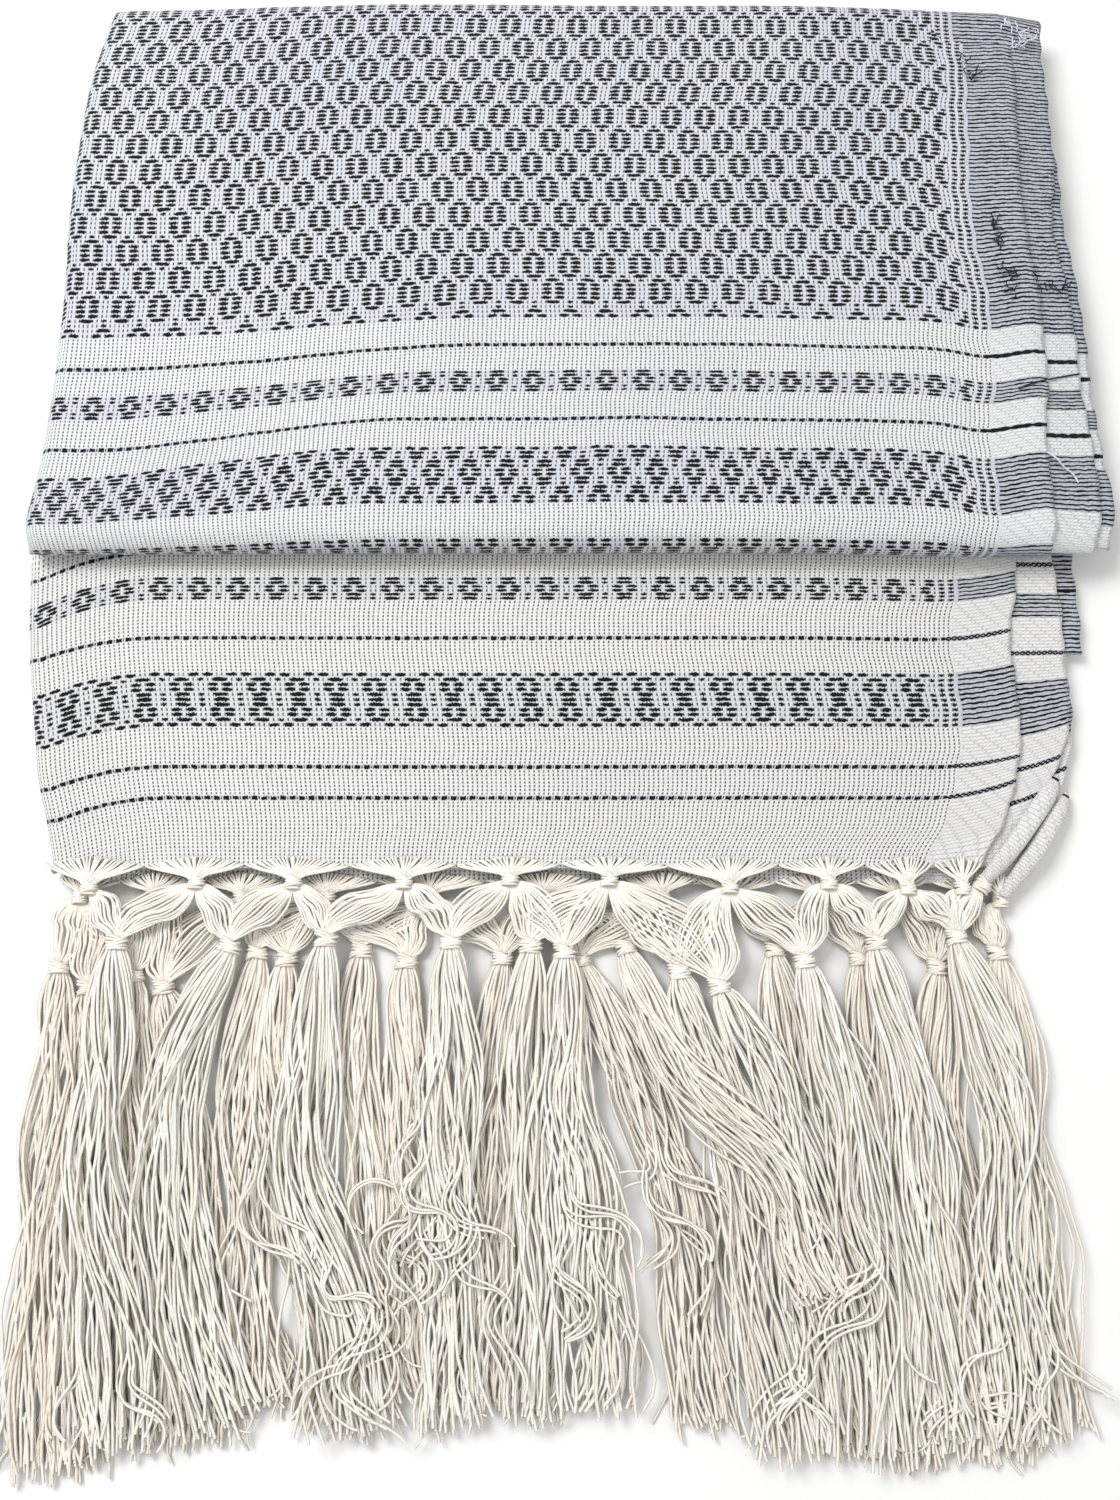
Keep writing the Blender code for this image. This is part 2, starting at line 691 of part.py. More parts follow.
def bundles_for(lies, knots):
    """Which first knots each tassel hangs from: the nearest ones left and right."""
    rows = sorted((r for r in TASSELS if (r[1] == OVER) == (lies == OVER)),
                  key=lambda r: r[2])
    taken = {}
    for n, row in enumerate(rows):
        left = [k for k in knots if k[0] < row[2]]
        right = [k for k in knots if k[0] >= row[2]]
        same_left = n > 0 and left and rows[n - 1][2] > left[-1][0]
        same_right = n + 1 < len(rows) and right and rows[n + 1][2] < right[0][0]
        sides = []
        if left and not same_left:
            sides.append((-1, left[-1]))
        if right and not same_right:
            sides.append((1, right[0]))
        taken[row[0]] = sides
    return taken


def tassel(row, sides, section, group, guides, material):
    """Second knot with its half bundles above and its locks of thread below."""
    name, lies = row[0], row[1]
    level = OVER if lies == OVER else UNDER
    head = Vector((row[2] * MM, row[3] * MM, THREAD_Z[lies][0] * MM))
    size = (HEAD_WIDTH, HEAD_LENGTH, HEAD_HEIGHT)
    item = add_object("tassel_" + name, ball(name, head, size), group, material)
    paths = lock_paths(row)
    paths += [bundle_path(head, knot, side, level) for side, knot in sides]
    threads = thread_bundle("threads_" + name, paths, section, group)
    as_guide(add_object("threads_" + name, threads, group), guides)
    join_with(item, bpy.data.objects["threads_" + name], "threads")
    return item


def knot_strip(name, knots, lies, hem_y, ends, group, guides, material):
    """Warp ends just off the hem, as a narrow strip that the first knots stand on."""
    z = KNOT_Z[lies] - STRIP_BELOW
    near = hem_y - SEAM_GAP
    rows = [[(x, y) for x in spaced(*ends, 12)] for y in (near - STRIP_DEPTH, near)]
    mesh = grid_mesh(name, rows, lambda i, j, x, y: z + STRIP_HEIGHT / 2,
                     lambda i, j, x, y: z - STRIP_HEIGHT / 2,
                     walls=("low", "high", "right"))
    body = bmesh.new()
    body.from_mesh(mesh)
    bmesh.ops.holes_fill(body, edges=body.edges, sides=0)
    bmesh.ops.recalc_face_normals(body, faces=body.faces)
    body.to_mesh(mesh)
    body.free()
    item = add_object(name, mesh, group, material)
    size = (KNOT_WIDTH, KNOT_LENGTH, KNOT_HEIGHT[lies])
    for k, (x, y) in enumerate(knots):
        label = "%s_knot_%d" % (name, k + 1)
        centre = (x * MM, y * MM, KNOT_Z[lies])
        knot = as_guide(add_object(label, ball(label, centre, size), group), guides)
        join_with(item, knot, label)
    return item


def main():
    clear_scene()
    shawl = new_collection("rebozo_shawl")
    guides = new_collection("guides")
    middle = bpy.data.objects.new("footprint_middle", None)
    middle.location = TO_MIDDLE
    guides.objects.link(middle)
    paint = {name: cotton(name, color) for name, color in COLORS.items()}

    hidden_folds(shawl, guides, paint["shade"])
    upper_front(shawl, paint["cool_white"])
    lower_front(shawl, paint["cream"])

    upper_strips(shawl, paint)
    lower_strips(shawl, paint)

    knot_strip("front_knots", FRONT_KNOTS, OVER, FRONT_HEM_Y, (-182 * MM, 138 * MM),
               shawl, guides, paint["thread"])
    knot_strip("back_knots", BACK_KNOTS, UNDER, BACK_HEM_Y, (-180 * MM, 150 * MM),
               shawl, guides, paint["back_thread"])

    section = lock_section(guides)
    sides = {**bundles_for(OVER, FRONT_KNOTS), **bundles_for(UNDER, BACK_KNOTS)}
    for row in TASSELS:
        color = paint["thread"] if row[1] == OVER else paint["back_thread"]
        tassel(row, sides[row[0]], section, shawl, guides, color)


main()
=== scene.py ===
import math
import random
from functools import partial

import bmesh
import bpy
from mathutils import Matrix, Vector, noise


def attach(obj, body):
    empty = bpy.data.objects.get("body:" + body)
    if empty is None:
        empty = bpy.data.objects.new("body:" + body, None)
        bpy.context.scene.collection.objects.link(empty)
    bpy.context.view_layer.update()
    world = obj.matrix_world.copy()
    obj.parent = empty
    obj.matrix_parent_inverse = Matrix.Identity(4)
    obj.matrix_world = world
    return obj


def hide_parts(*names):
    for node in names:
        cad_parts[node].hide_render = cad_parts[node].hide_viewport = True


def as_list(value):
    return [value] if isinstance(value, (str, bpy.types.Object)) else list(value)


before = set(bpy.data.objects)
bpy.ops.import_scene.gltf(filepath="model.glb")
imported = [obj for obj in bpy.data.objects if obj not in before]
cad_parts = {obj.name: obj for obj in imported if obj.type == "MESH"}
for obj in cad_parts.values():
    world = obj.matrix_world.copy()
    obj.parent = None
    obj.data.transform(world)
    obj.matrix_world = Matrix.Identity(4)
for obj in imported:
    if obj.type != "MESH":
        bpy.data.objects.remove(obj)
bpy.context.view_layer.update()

mm = 0.001
toMiddle = Vector((1.0 * mm, 2.6 * mm, 0))   # from the plans below to the middle of the footprint
colors = {
    "blackWeft": "#0B0C12",
    "underShade": "#8394B8",
    # painted shade for the weave's grooves
    "grooveShade": "#77767A",
    # painted shade seen through the pinholes
    "shadedPinhole": "#262524",
    # tan painted shade deep in the fringe's pile
    "buriedShade": "#B5A68D",
    "floor": "#F8F8F7",
}


def linearColor(text):
    values = [int(text[k:k + 2], 16) / 255 for k in (1, 3, 5)]
    return tuple(v / 12.92 if v <= 0.04045 else ((v + 0.055) / 1.055) ** 2.4 for v in values) + (1,)


def addNode(tree, kind, links=None, **settings):
    # one node with its settings; links gives a value, a socket or a node for each input, in
    # order or by name, and a kind can end in its operation
    kind, *operation = kind.split()
    made = tree.nodes.new(kind if kind.startswith(("Geometry", "Function", "Node")) else
                          "ShaderNode" + kind)
    if operation:
        made.operation = operation[0]
    links = dict(enumerate(links)) if isinstance(links, tuple) else links
    for name, value in settings.items():
        setattr(made, name, value)
    for socket, value in (links or {}).items():
        if isinstance(value, bpy.types.Node):
            value = value.outputs[0]
        if isinstance(value, bpy.types.NodeSocket):
            tree.links.new(value, made.inputs[socket])
        else:
            made.inputs[socket].default_value = value
    return made


# ---- the plans and heights that the solids were built on, in mm along x and y

upperPlan = {
    "y": (31, 42, 54, 70, 100, 140, 165, 200, 240, 274),
    "fold": (-199.5, -201.5, -200, -198, -196.5, -196, -197, -196.5, -194, -188),
    "front": (172.5, 174.5, 174.5, 173.5, 176.5, 176, 173.5, 174, 176.5, 177),
    "behind": (189, 192.5, 194.5, 193.5, 191, 190, 186, 190, 190, 191),
    "third": (196, 198, 201, 198, 196, 195, 192, 191.5, 188, 186),
}
lowerPlan = {
    "y": (-89, -83, -66, -50, -35, -12, 4, 17, 35, 52),
    "fold": (-183, -184.5, -188.5, -193, -195.5, -199, -201, -202, -203, -202.5),
    "front": (137, 141, 151, 156.5, 159.5, 159, 158.5, 161.5, 163, 163),
    "behind": (146, 151, 164, 174.5, 178, 178.5, 178.5, 178.5, 177.5, 177),
    "otherEnd": (155, 160, 171, 178, 179.5, 179.5, 179.5, 179.5, 179, 178),
}
foldY, topY, hemY, backHemY, tuckY = 31, 274, -83, -88, 52
endRound, upperRound, lowerRound = 7.2, 5.4, 4.6


def ease(t):
    t = min(max(t, 0), 1)
    return t * t * (3 - 2 * t)


def hermite(t, v0, v1, m0, m1):
    # smooth step from v0 to v1 with the slopes m0 and m1
    return ((2 * t ** 3 - 3 * t ** 2 + 1) * v0 + (t ** 3 - 2 * t ** 2 + t) * m0
            + (-2 * t ** 3 + 3 * t ** 2) * v1 + (t ** 3 - t ** 2) * m1)


def planX(plan, name, y):
    # smooth edge through the plan's points
    ys, xs = plan["y"], plan[name]
    if y <= ys[0]:
        return xs[0]
    if y >= ys[-1]:
        return xs[-1]
    k = max(n for n in range(len(ys) - 1) if ys[n] <= y)
    t = (y - ys[k]) / (ys[k + 1] - ys[k])
    before = xs[max(k - 1, 0)]
    after = xs[min(k + 2, len(xs) - 1)]
    return hermite(t, xs[k], xs[k + 1], (xs[k + 1] - before) / 2, (after - xs[k]) / 2)


def wave(x, y):
    return 0.7 * (0.6 * math.sin(x / 31 + y / 70) + 0.4 * math.sin(y / 37 - x / 90))


def lowerTop(x, y):
    rise = 4.0 * ease((y + 83) / 135)
    crown = 1 - 0.3 * abs(x / 200) ** 3
    side = 1 - 0.8 * ease((x - 80) / 80)
    return 8.8 + rise * crown * side + 0.5 * wave(x, y) * crown


def upperTop(x, y):
    left = 3.5 * ease((-x - 60) / 140)
    right = 5.0 * ease((x - 60) / 150)
    fall = 7.0 * max(0, (x - 172) / 30)
    far = 1.5 * ease((y - 150) / 120)
    return 27.5 - left - right - fall - far + wave(x, y)


# ---- weaving drafts: eight warp columns to a repeat, # where the black weft floats

drafts = {
    "L": ".###..#.",
    "P": "##.##...",
    "t": "..#.....",
    "m": ".###....",
}
bandB = "L0 L0 P0 P0 L0 L0"
bandC = "P0 P0 L0 L0 L4 L4 P4 P4 L4 L4 L0 L0 P0"
ladder = "P0 L4 P4 P4 L4 L4 L4 P4 P4 L4 P0"
weave = {
    "plainPick": 1.3,         # mm; a column is two warp ends, 1.69 mm
    "selvedgeColumns": 12,
    "shortDashColumns": 5,
}


def hexGround(rows):
    # honeycomb ground from its lower edge up: a row of small peaks, then cells set half over
    names = ["P0", "m0", "t0"]
    for k in range(rows):
        names += [n + ("4" if k % 2 == 0 else "0") for n in "LPPPPL"]
    return " ".join(names)


def pickRows(start, end, bands):
    # one entry for each pick or pair of picks: its lower edge in mm, its kind and its shift
    rows, at = [], start
    for low, pitch, names in bands + [(end, 1, "")]:
        count = max(0, round((low - at) / weave["plainPick"]))
        if low > at and count == 0:
            count = 1
        rows += [(at + (low - at) * k / count, "plain", 0) for k in range(count)]
        at = max(at, low) if names else at
        for name in names.split():
            if at >= end:
                break
            rows.append((at, name[0], int(name[1:] or 0)))
            at += pitch
    return rows, end


# ---- cloth

def clothMesh(name, columns, rows, end, place, edgeColumns=None, reach=None, threads=1):
    # columns by rows of faces; place(i, y) gives a point. Face and corner data carry the draft,
    # and each face of a coarse mesh carries threads by threads of its cells.
    edgeColumns = weave["selvedgeColumns"] if edgeColumns is None else edgeColumns
    mesh = bpy.data.meshes.new(name)
    ys = [row[0] for row in rows] + [end]
    points = [place(i, y) for y in ys for i in range(columns + 1)]
    faces, draw, under = [], [], []
    weaveUv, floatUv = [], []
    plainEnd = columns - edgeColumns
    shortEnd = plainEnd - weave["shortDashColumns"]
    for j, (low, kind, shift) in enumerate(rows):
        chart = drafts.get(kind)
        black = [False] * columns
        if chart:
            black = [chart[(columns - i + shift) % 8] == "#" for i in range(columns)]
            for i in range(max(shortEnd, 0), plainEnd):
                black[i] = (plainEnd - i) % 2 == 0
        runs = [0] * columns
        for i in range(columns):
            runs[i] = runs[i - 1] + 1 if i and black[i] and black[i - 1] else 0
        lengths = [0] * columns
        for i in range(columns - 1, -1, -1):
            lengths[i] = lengths[i + 1] + 1 if i + 1 < columns and black[i] and black[i + 1] else 0
        for i in range(columns):
            corner = j * (columns + 1) + i
            if reach and not reach(i, low):
                continue
            corners = (corner, corner + 1, corner + columns + 2, corner + columns + 1)
            faces.append(corners)
            mark = 1 if black[i] else 0
            if kind in "DR":
                mark = (4 if kind == "D" else 5) if i >= plainEnd - 2 else 2
            elif chart and i >= plainEnd:
                mark = 3
            if mark and plainEnd > i > 14:
                for k in corners:
                    points[k].z += 0.05 * mm
            draw.append(mark)
            under.append(1.0 if kind != "plain" else 0.0)
            weaveUv += [((i + a) * threads, (j + b) * threads)
                        for a, b in ((0, 0), (1, 0), (1, 1), (0, 1))]
            left, right = runs[i], lengths[i]
            floatUv += [(left, right + 1), (left + 1, right), (left + 1, right), (left, right + 1)]
    mesh.from_pydata(points, [], faces)
    for label, values in (("draw", draw), ("under", under)):
        data = mesh.attributes.new(label, "FLOAT", "FACE")
        data.data.foreach_set("value", [float(v) for v in values])
    for label, values in (("weave", weaveUv), ("float", floatUv)):
        layer = mesh.uv_layers.new(name=label)
        layer.data.foreach_set("uv", [c for uv in values for c in uv])
    edge = mesh.attributes.new("selvedge", "FLOAT", "POINT")
    edge.data.foreach_set("value", [1.0 if i >= plainEnd else 0.0
                                    for _ in ys for i in range(columns + 1)])
    return mesh


def finishCloth(mesh, material, thickness, nodes):
    # merges the turned ends, gives the cloth its thickness and rides it on the shawl
    body = bmesh.new()
    body.from_mesh(mesh)
    bmesh.ops.remove_doubles(body, verts=body.verts, dist=0.02 * mm)
    loose = [v for v in body.verts if not v.link_faces]
    bmesh.ops.delete(body, geom=loose, context="VERTS")
    body.to_mesh(mesh)
    body.free()
    mesh.transform(Matrix.Translation(toMiddle))
    mesh.materials.append(material)
    mesh.polygons.foreach_set("use_smooth", [True] * len(mesh.polygons))
    piece = bpy.data.objects.new(mesh.name, mesh)
    bpy.context.scene.collection.objects.link(piece)
    wall = piece.modifiers.new("clothThickness", "SOLIDIFY")
    wall.thickness = thickness * mm
    wall.offset = -1
    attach(piece, "root")
    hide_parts(*nodes)
    return piece


def irregular(x, y):
    # hand-beaten cloth is never quite flat
    drift = noise.noise(Vector((x / 23, y / 9, 3.1)))
    fine = noise.noise(Vector((x / 5.1, y / 3.3, 8.7)))
    return 0.30 * drift + 0.10 * fine


picksDip = {
    # how far the picks dip beside the lengthwise fold: height along the cloth from the
    # crosswise fold, depth, where the dip starts and how wide it is, all in mm
    "s": (-12, 0, 22, 42, 55, 70, 86, 99, 175),
    "depth": (0, 2.4, 7, 11.2, 10.9, 9.4, 8.7, 6.4, 0),
    "start": (60, 60, 72, 84, 70, 52, 36, 32, 40),
    "width": (110, 110, 116, 106, 106, 128, 140, 140, 140),
}


def along(table, name, value):
    # straight-line reading of a table
    keys = table["s"]
    k = max([n for n in range(len(keys) - 1) if keys[n] <= value] or [0])
    t = min(max((value - keys[k]) / (keys[k + 1] - keys[k]), 0), 1)
    return table[name][k] * (1 - t) + table[name][k + 1] * t


def upperBend(x, s):
    t = (-x - along(picksDip, "start", s)) / along(picksDip, "width", s)
    left = along(picksDip, "depth", s) * (0.7 * ease(t) + 0.3 * min(max(t, 0), 1))
    right = 3.2 * math.exp(-((x - 152) / 13) ** 2) * (1 - 0.5 * ease((s - 110) / 60))
    return left + right * ease(s / 12)


def lowerBend(x, y):
    left = 9.0 * max(0, (-x - 152) / 47) ** 2 * (1 + 0.35 * ease((y - 2) / 16))
    right = -4.0 * max(0, (x - 128) / 32) ** 2 * (1.6 - 0.6 * ease((y + 56) / 12))
    return left + right


upperCloth = {
    "columns": 217,
    "turnColumns": 7,         # round a quarter of the lengthwise fold
    "arc": 12.8,              # cloth round a quarter of the crosswise fold
    "thickness": 1.0,
    "farEnd": 270.6,          # the cloth's far turn stops a little short of the layers below
    "bands": [(-6.8, 1.7, "P4 L4 L4 L0 L0 L0"), (3.4, 2.1, "P0 P0"), (21.2, 1.76, bandC),
              (54.0, 1.9, "R"), (66.0, 1.5, bandB), (84.7, 1.9, "R"),
              (96.8, 1.87, hexGround(15))],
}


def upperPlace(i, s, cloth=upperCloth):
    # i counts columns in from the turned edge, s is the way along the cloth from the fold
    turns, arc, far = cloth["turnColumns"], cloth["arc"], cloth["farEnd"]
    flatTop = far - foldY - 2 * endRound + arc
    bendFade = 1.0
    phi = 0.0
    if i < 2 * turns:
        phi = math.pi / 2 * (2 * turns - i) / turns
        bendFade = 1.0 if i >= turns else max(0, 1 + math.cos(phi))
    xFlat = -195 + 370 * max(0, i - 2 * turns) / cloth["columns"]
    if s < flatTop:
        s = s - upperBend(xFlat, s) * bendFade
        calm = ease((s - arc) / 6) * ease((flatTop - s) / 6) * bendFade
        s += calm * (0.55 * noise.noise(Vector((xFlat / 38, s / 50, 4.2)))
                     + 0.22 * (1 - 0.7 * ease((xFlat - 130) / 20))
                     * noise.noise(Vector((xFlat / 9, s / 12, 6.1))))
    psi, y = rolled(s, arc, foldY, far, endRound, flatTop)
    left = planX(upperPlan, "fold", y)
    right = planX(upperPlan, "front", y) + 0.35 * math.sin(s / 2.1) + 0.3 * math.sin(s / 5.3)
    if phi:
        x = left + upperRound * (1 - math.sin(phi))
    else:
        start = left + upperRound
        x = start + (right - start) * (i - 2 * turns) / cloth["columns"]
    top, low = upperTop(x, y) - 2.2 * ease((y - 215) / 50), lowerTop(x, y) + 0.3
    middle, half = (top + low) / 2, (top - low) / 2
    sign = -1 if phi > math.pi / 2 + 1e-6 or psi > math.pi / 2 + 1e-6 else 1
    lift = sign * abs(math.cos(phi) * math.cos(psi))
    z = middle + half * lift
    calm = abs(lift) if i > 2 * turns else 0
    shift = 0.6 * noise.noise(Vector((x / 45, y / 30, 1))) + 0.15 * noise.noise(
        Vector((x / 7, y / 7, 1)))
    return Vector((x + shift * calm * ease((right - x) / 8), y,
                   z + calm * irregular(x, y))) * mm


lowerCloth = {
    "columns": 203,
    "turnColumns": 5,
    "thickness": 1.0,
    "bands": [(-59.0, 1.9, "D"), (-47.7, 1.9, "D"), (-32.3, 1.87, ladder), (0.1, 1.9, "D"),
              (15.5, 1.5, bandB), (33.4, 1.9, "D")],
}


def lowerPlace(i, y, cloth=lowerCloth):
    turns = cloth["turnColumns"]
    phi = math.pi / 2 * (2 * turns - i) / turns if i < 2 * turns else 0.0
    xFlat = -197 + 357 * max(0, i - 2 * turns) / cloth["columns"]
    fade = ease((y - hemY) / 8) * (1 - ease((y - 36) / 16))
    if i < turns:
        fade *= max(0, 1 + math.cos(phi))
    y = y - lowerBend(xFlat, y) * fade
    left = planX(lowerPlan, "fold", y)
    right = planX(lowerPlan, "front", y) + 0.35 * math.sin(y / 2.3)
    if phi:
        x = left + lowerRound * (1 - math.sin(phi))
    else:
        start = left + lowerRound
        x = start + (right - start) * (i - 2 * turns) / cloth["columns"]
    half = lowerTop(x, y) / 2
    z = half + half * math.cos(phi)
    calm = 1 if i > 2 * turns else 0
    return Vector((x + 0.12 * calm * noise.noise(Vector((x / 7, y / 7, 2))), y,
                   max(z, 0.05) + calm * irregular(x, y))) * mm


def rolled(s, arc, low, high, radius, flatTop):
    # turn and place of a point s along cloth that rolls round a fold at low and at high
    if s < arc:
        psi = math.pi / 2 * (arc - s) / arc
        return psi, low + radius * (1 - math.sin(psi))
    if s > flatTop:
        psi = math.pi / 2 * (s - flatTop) / arc
        return psi, high - radius * (1 - math.sin(psi))
    return 0.0, low + radius + (s - arc)


def stripPlace(plan, edge, start, columns, surface, drop):
    # a layer's selvedge strip, beside the layers that cover it
    def place(i, y):
        right = planX(plan, edge, y) + 0.4 * math.sin(y / 2.2 + drop) + 0.3 * math.sin(y / 6.1)
        x = start + (right - start) * i / columns
        climb = 8.5 * ease((4 - y) / 50) * ease((y - backHemY) / 26) if plan is lowerPlan else 0
        y2 = y + climb * (i / columns) ** 3
        z = surface(x, y2) - drop + 0.15 * noise.noise(Vector((x / 4, y / 4, drop)))
        return Vector((x, y2, z)) * mm
    return place


def turnedStrip(edge, start, columns, level):
    # the same for the upper stretch, rolled round the crosswise fold at both ends
    radius = endRound - 1.8 * level
    arc = 10.5

    def place(i, s):
        low, high = foldY + 1.8 * level, topY - 3 - 1.4 * level
        flatTop = high - radius - (low + radius) + arc
        psi, y = rolled(s, arc, low, high, radius, flatTop)
        climb = 3.2 * (i / columns) ** 3 * ease((s - arc) / 20) * ease((flatTop - s) / 20)
        y += climb
        right = planX(upperPlan, edge, y) + 0.4 * math.sin(s / 2.2) + 0.3 * math.sin(s / 6.1)
        x = start + (right - start) * i / columns
        flat = upperTop(x, y) - 1.8 * level
        middle = (upperTop(x, y) + lowerTop(x, y) + 0.3) / 2
        z = middle + (flat - middle) * math.cos(psi)
        return Vector((x, y, z + 0.15 * noise.noise(Vector((x / 4, y / 4, level))))) * mm
    return place, arc


def wovenCotton(name, white, warm, coolShade):
    # handwoven cotton in plain weave, with a black weft that floats over it in patterns:
    # matt, with a pinhole between every two pairs of ends, and raised soft black dashes
    material = bpy.data.materials.new(name)
    material.use_nodes = True
    tree = material.node_tree
    add = partial(addNode, tree)
    shader = tree.nodes["Principled BSDF"]
    place = add("UVMap", uv_map="weave")
    parts = add("SeparateXYZ", {0: place})
    column, pick = parts.outputs[0], parts.outputs[1]
    ends = add("UVMap", uv_map="float")
    ends = add("SeparateXYZ", {0: ends})
    draw = add("Attribute", attribute_name="draw").outputs["Fac"]
    under = add("Attribute", attribute_name="under").outputs["Fac"]
    selvedge = add("Attribute", attribute_name="selvedge").outputs["Fac"]

    # irregular thickness and drift of each thread
    stretched = add("Mapping", {0: place, "Scale": (0.45, 1.0, 1.0)})
    uneven = add("TexNoise", {"Vector": stretched, "Scale": 1.0, "Detail": 2.0})
    unevenFine = add("TexNoise", {"Vector": place, "Scale": 2.6, "Detail": 1.0})
    drift = add("Math ADD", (uneven, -0.5))
    drift = add("Math MULTIPLY", (drift, 0.55))

    def offCentre(value):
        # from -0.5 to 0.5 across each whole step of the value
        value = add("Math FRACT", {0: value})
        return add("Math SUBTRACT", (value, 0.5))

    def where(mask, mark):
        # the mask on the faces that carry this mark in their draft
        isMark = add("Math COMPARE", (draw, mark, 0.2))
        return add("Math MULTIPLY", (mask, isMark))

    across = offCentre(pick)
    drifted = add("Math ADD", (across, drift))
    fromMiddle = add("Math ABSOLUTE", {0: drifted})

    # floats: thin at their ends, full in the middle
    nearEnd = add("Math MINIMUM", (ends.outputs[0], ends.outputs[1]))
    full = add("MapRange", (nearEnd, 0.0, 0.55, 0.15, 0.37), interpolation_type="SMOOTHSTEP")
    fuller = add("Math MULTIPLY_ADD", (unevenFine, 0.7, -0.34))
    halfWidth = add("Math ADD", (full, fuller))
    gap = add("Math SUBTRACT", (fromMiddle, halfWidth))
    floatMask = add("MapRange", (gap, -0.05, 0.06, 1.0, 0.0))
    floatMask = where(floatMask, 1.0)

    # single dashed picks: four dashes to a repeat, wide and waisted by turns
    beat = add("Math MULTIPLY", (column, 0.5))
    beat = add("Math ABSOLUTE", {0: offCentre(beat)})
    dashLong = add("MapRange", (beat, 0.29, 0.34, 1.0, 0.0))
    dashThin = add("Math ADD", (fuller, 0.37))
    dashGap = add("Math SUBTRACT", (fromMiddle, dashThin))
    dashMask = add("MapRange", (dashGap, -0.05, 0.05, 1.0, 0.0))
    dashMask = add("Math MULTIPLY", (dashMask, dashLong))
    dashMask = where(dashMask, 2.0)

    # in the selvedge the black weft is a thin wavy line, and a chain of two where it is doubled
    swing = add("Math MULTIPLY", (column, 2.6))
    swing = add("Math SINE", {0: swing})
    thinAt = add("Math MULTIPLY_ADD", (swing, 0.035, drifted))
    thinAt = add("Math ABSOLUTE", {0: thinAt})
    thinMask = add("MapRange", (thinAt, 0.17, 0.24, 1.0, 0.0))
    thinMask = where(thinMask, 3.0)
    chainAt = add("Math ABSOLUTE", {0: swing})
    chainAt = add("Math MULTIPLY_ADD", (chainAt, -0.27, fromMiddle))
    chainAt = add("Math ABSOLUTE", {0: chainAt})
    chainMask = add("MapRange", (chainAt, 0.15, 0.22, 1.0, 0.0))
    chainMask = where(chainMask, 4.0)
    ropeAt = add("Math MULTIPLY_ADD", (swing, 0.07, fromMiddle))
    ropeMask = add("MapRange", (ropeAt, 0.38, 0.45, 1.0, 0.0))
    ropeMask = where(ropeMask, 5.0)
    chainMask = add("Math MAXIMUM", (chainMask, ropeMask))

    black = add("Math MAXIMUM", (floatMask, dashMask))
    lines = add("Math MAXIMUM", (thinMask, chainMask))
    black = add("Math MAXIMUM", (black, lines))

    # pinholes on the lines between columns, one to a pick; their dark colour is painted shade seen
    # through them
    side = add("Math ADD", (column, 0.5))
    side = add("Math ABSOLUTE", {0: offCentre(side)})
    holeAcross = add("MapRange", (side, 0.12, 0.21, 1.0, 0.0))
    stagger = add("Math ABSOLUTE", {0: across})
    holeAlong = add("MapRange", (stagger, 0.24, 0.35, 1.0, 0.0))
    shadedPinhole = add("Math MULTIPLY", (holeAcross, holeAlong))
    holeSize = add("MapRange", (unevenFine, 0.35, 0.6, 0.45, 1.0))
    shadedPinhole = add("Math MULTIPLY", (shadedPinhole, holeSize))
    body = add("Math SUBTRACT", (1.0, selvedge))
    shadedPinhole = add("Math MULTIPLY", (shadedPinhole, body))

    # relief: warp pairs as ribs, wefts dipping between them, a basket weave at the selvedge
    rib = add("Math MULTIPLY", (column, 2 * math.pi))
    rib = add("Math COSINE", {0: rib})
    beatUp = add("Math MULTIPLY", (pick, 2 * math.pi))
    beatUp = add("Math COSINE", {0: beatUp})
    basket = add("Math MULTIPLY", (rib, beatUp))
    halfStep = add("Math FLOOR", {0: pick})
    halfStep = add("Math MULTIPLY", (halfStep, 0.5))
    brick = add("Math MULTIPLY_ADD", (column, 0.62, halfStep))
    brick = add("Math PINGPONG", (brick, 1.0))
    brick = add("MapRange", (brick, 0.0, 0.22, 1.0, 0.0))
    seam = add("MapRange", (stagger, 0.30, 0.5, 0.0, 0.8))
    brick = add("Math MAXIMUM", (brick, seam))
    brick = add("Math MULTIPLY", (brick, selvedge))
    ribbed = add("Math MULTIPLY_ADD", (rib, -0.2, basket))
    relief = add("Mix", {0: selvedge, 2: ribbed, 3: basket}, data_type="FLOAT")
    for mask, height in ((black, 1.4), (shadedPinhole, -3.0), (brick, -1.5)):
        relief = add("Math MULTIPLY_ADD", (mask, height, relief))

    # colour: yarn streaks, painted cool shade in random clouds, a blue shade where black threads
    # run underneath, painted shade in the weave's grooves, and pinholes painted dark as shade
    streaks = add("MapRange", (uneven, 0.3, 0.7, 0.93, 1.03))
    base = add("Mix", {6: linearColor(white), 7: linearColor(warm)}, data_type="RGBA")
    tree.links.new(add("MapRange", (unevenFine, 0.3, 0.8)).outputs[0], base.inputs[0])
    base = add("Mix", {0: 1.0, 6: base.outputs[2], 7: (1, 1, 1, 1)},
               data_type="RGBA", blend_type="MULTIPLY")
    tree.links.new(streaks.outputs[0], base.inputs[7])
    # painted cool shade, laid over the cloth in large random clouds
    cloud = add("TexNoise", {"Vector": add("TexCoord").outputs["Object"], "Scale": 11.0,
                             "Detail": 1.5})
    cloud = add("MapRange", (cloud, 0.45, 0.68, 0.0, 0.30))
    base = add("Mix", {0: cloud, 6: base.outputs[2], 7: linearColor(coolShade)}, data_type="RGBA")
    shade = add("Math MULTIPLY_ADD", (selvedge, 0.12, 0.24))
    shade = add("Math MULTIPLY", (under, shade))
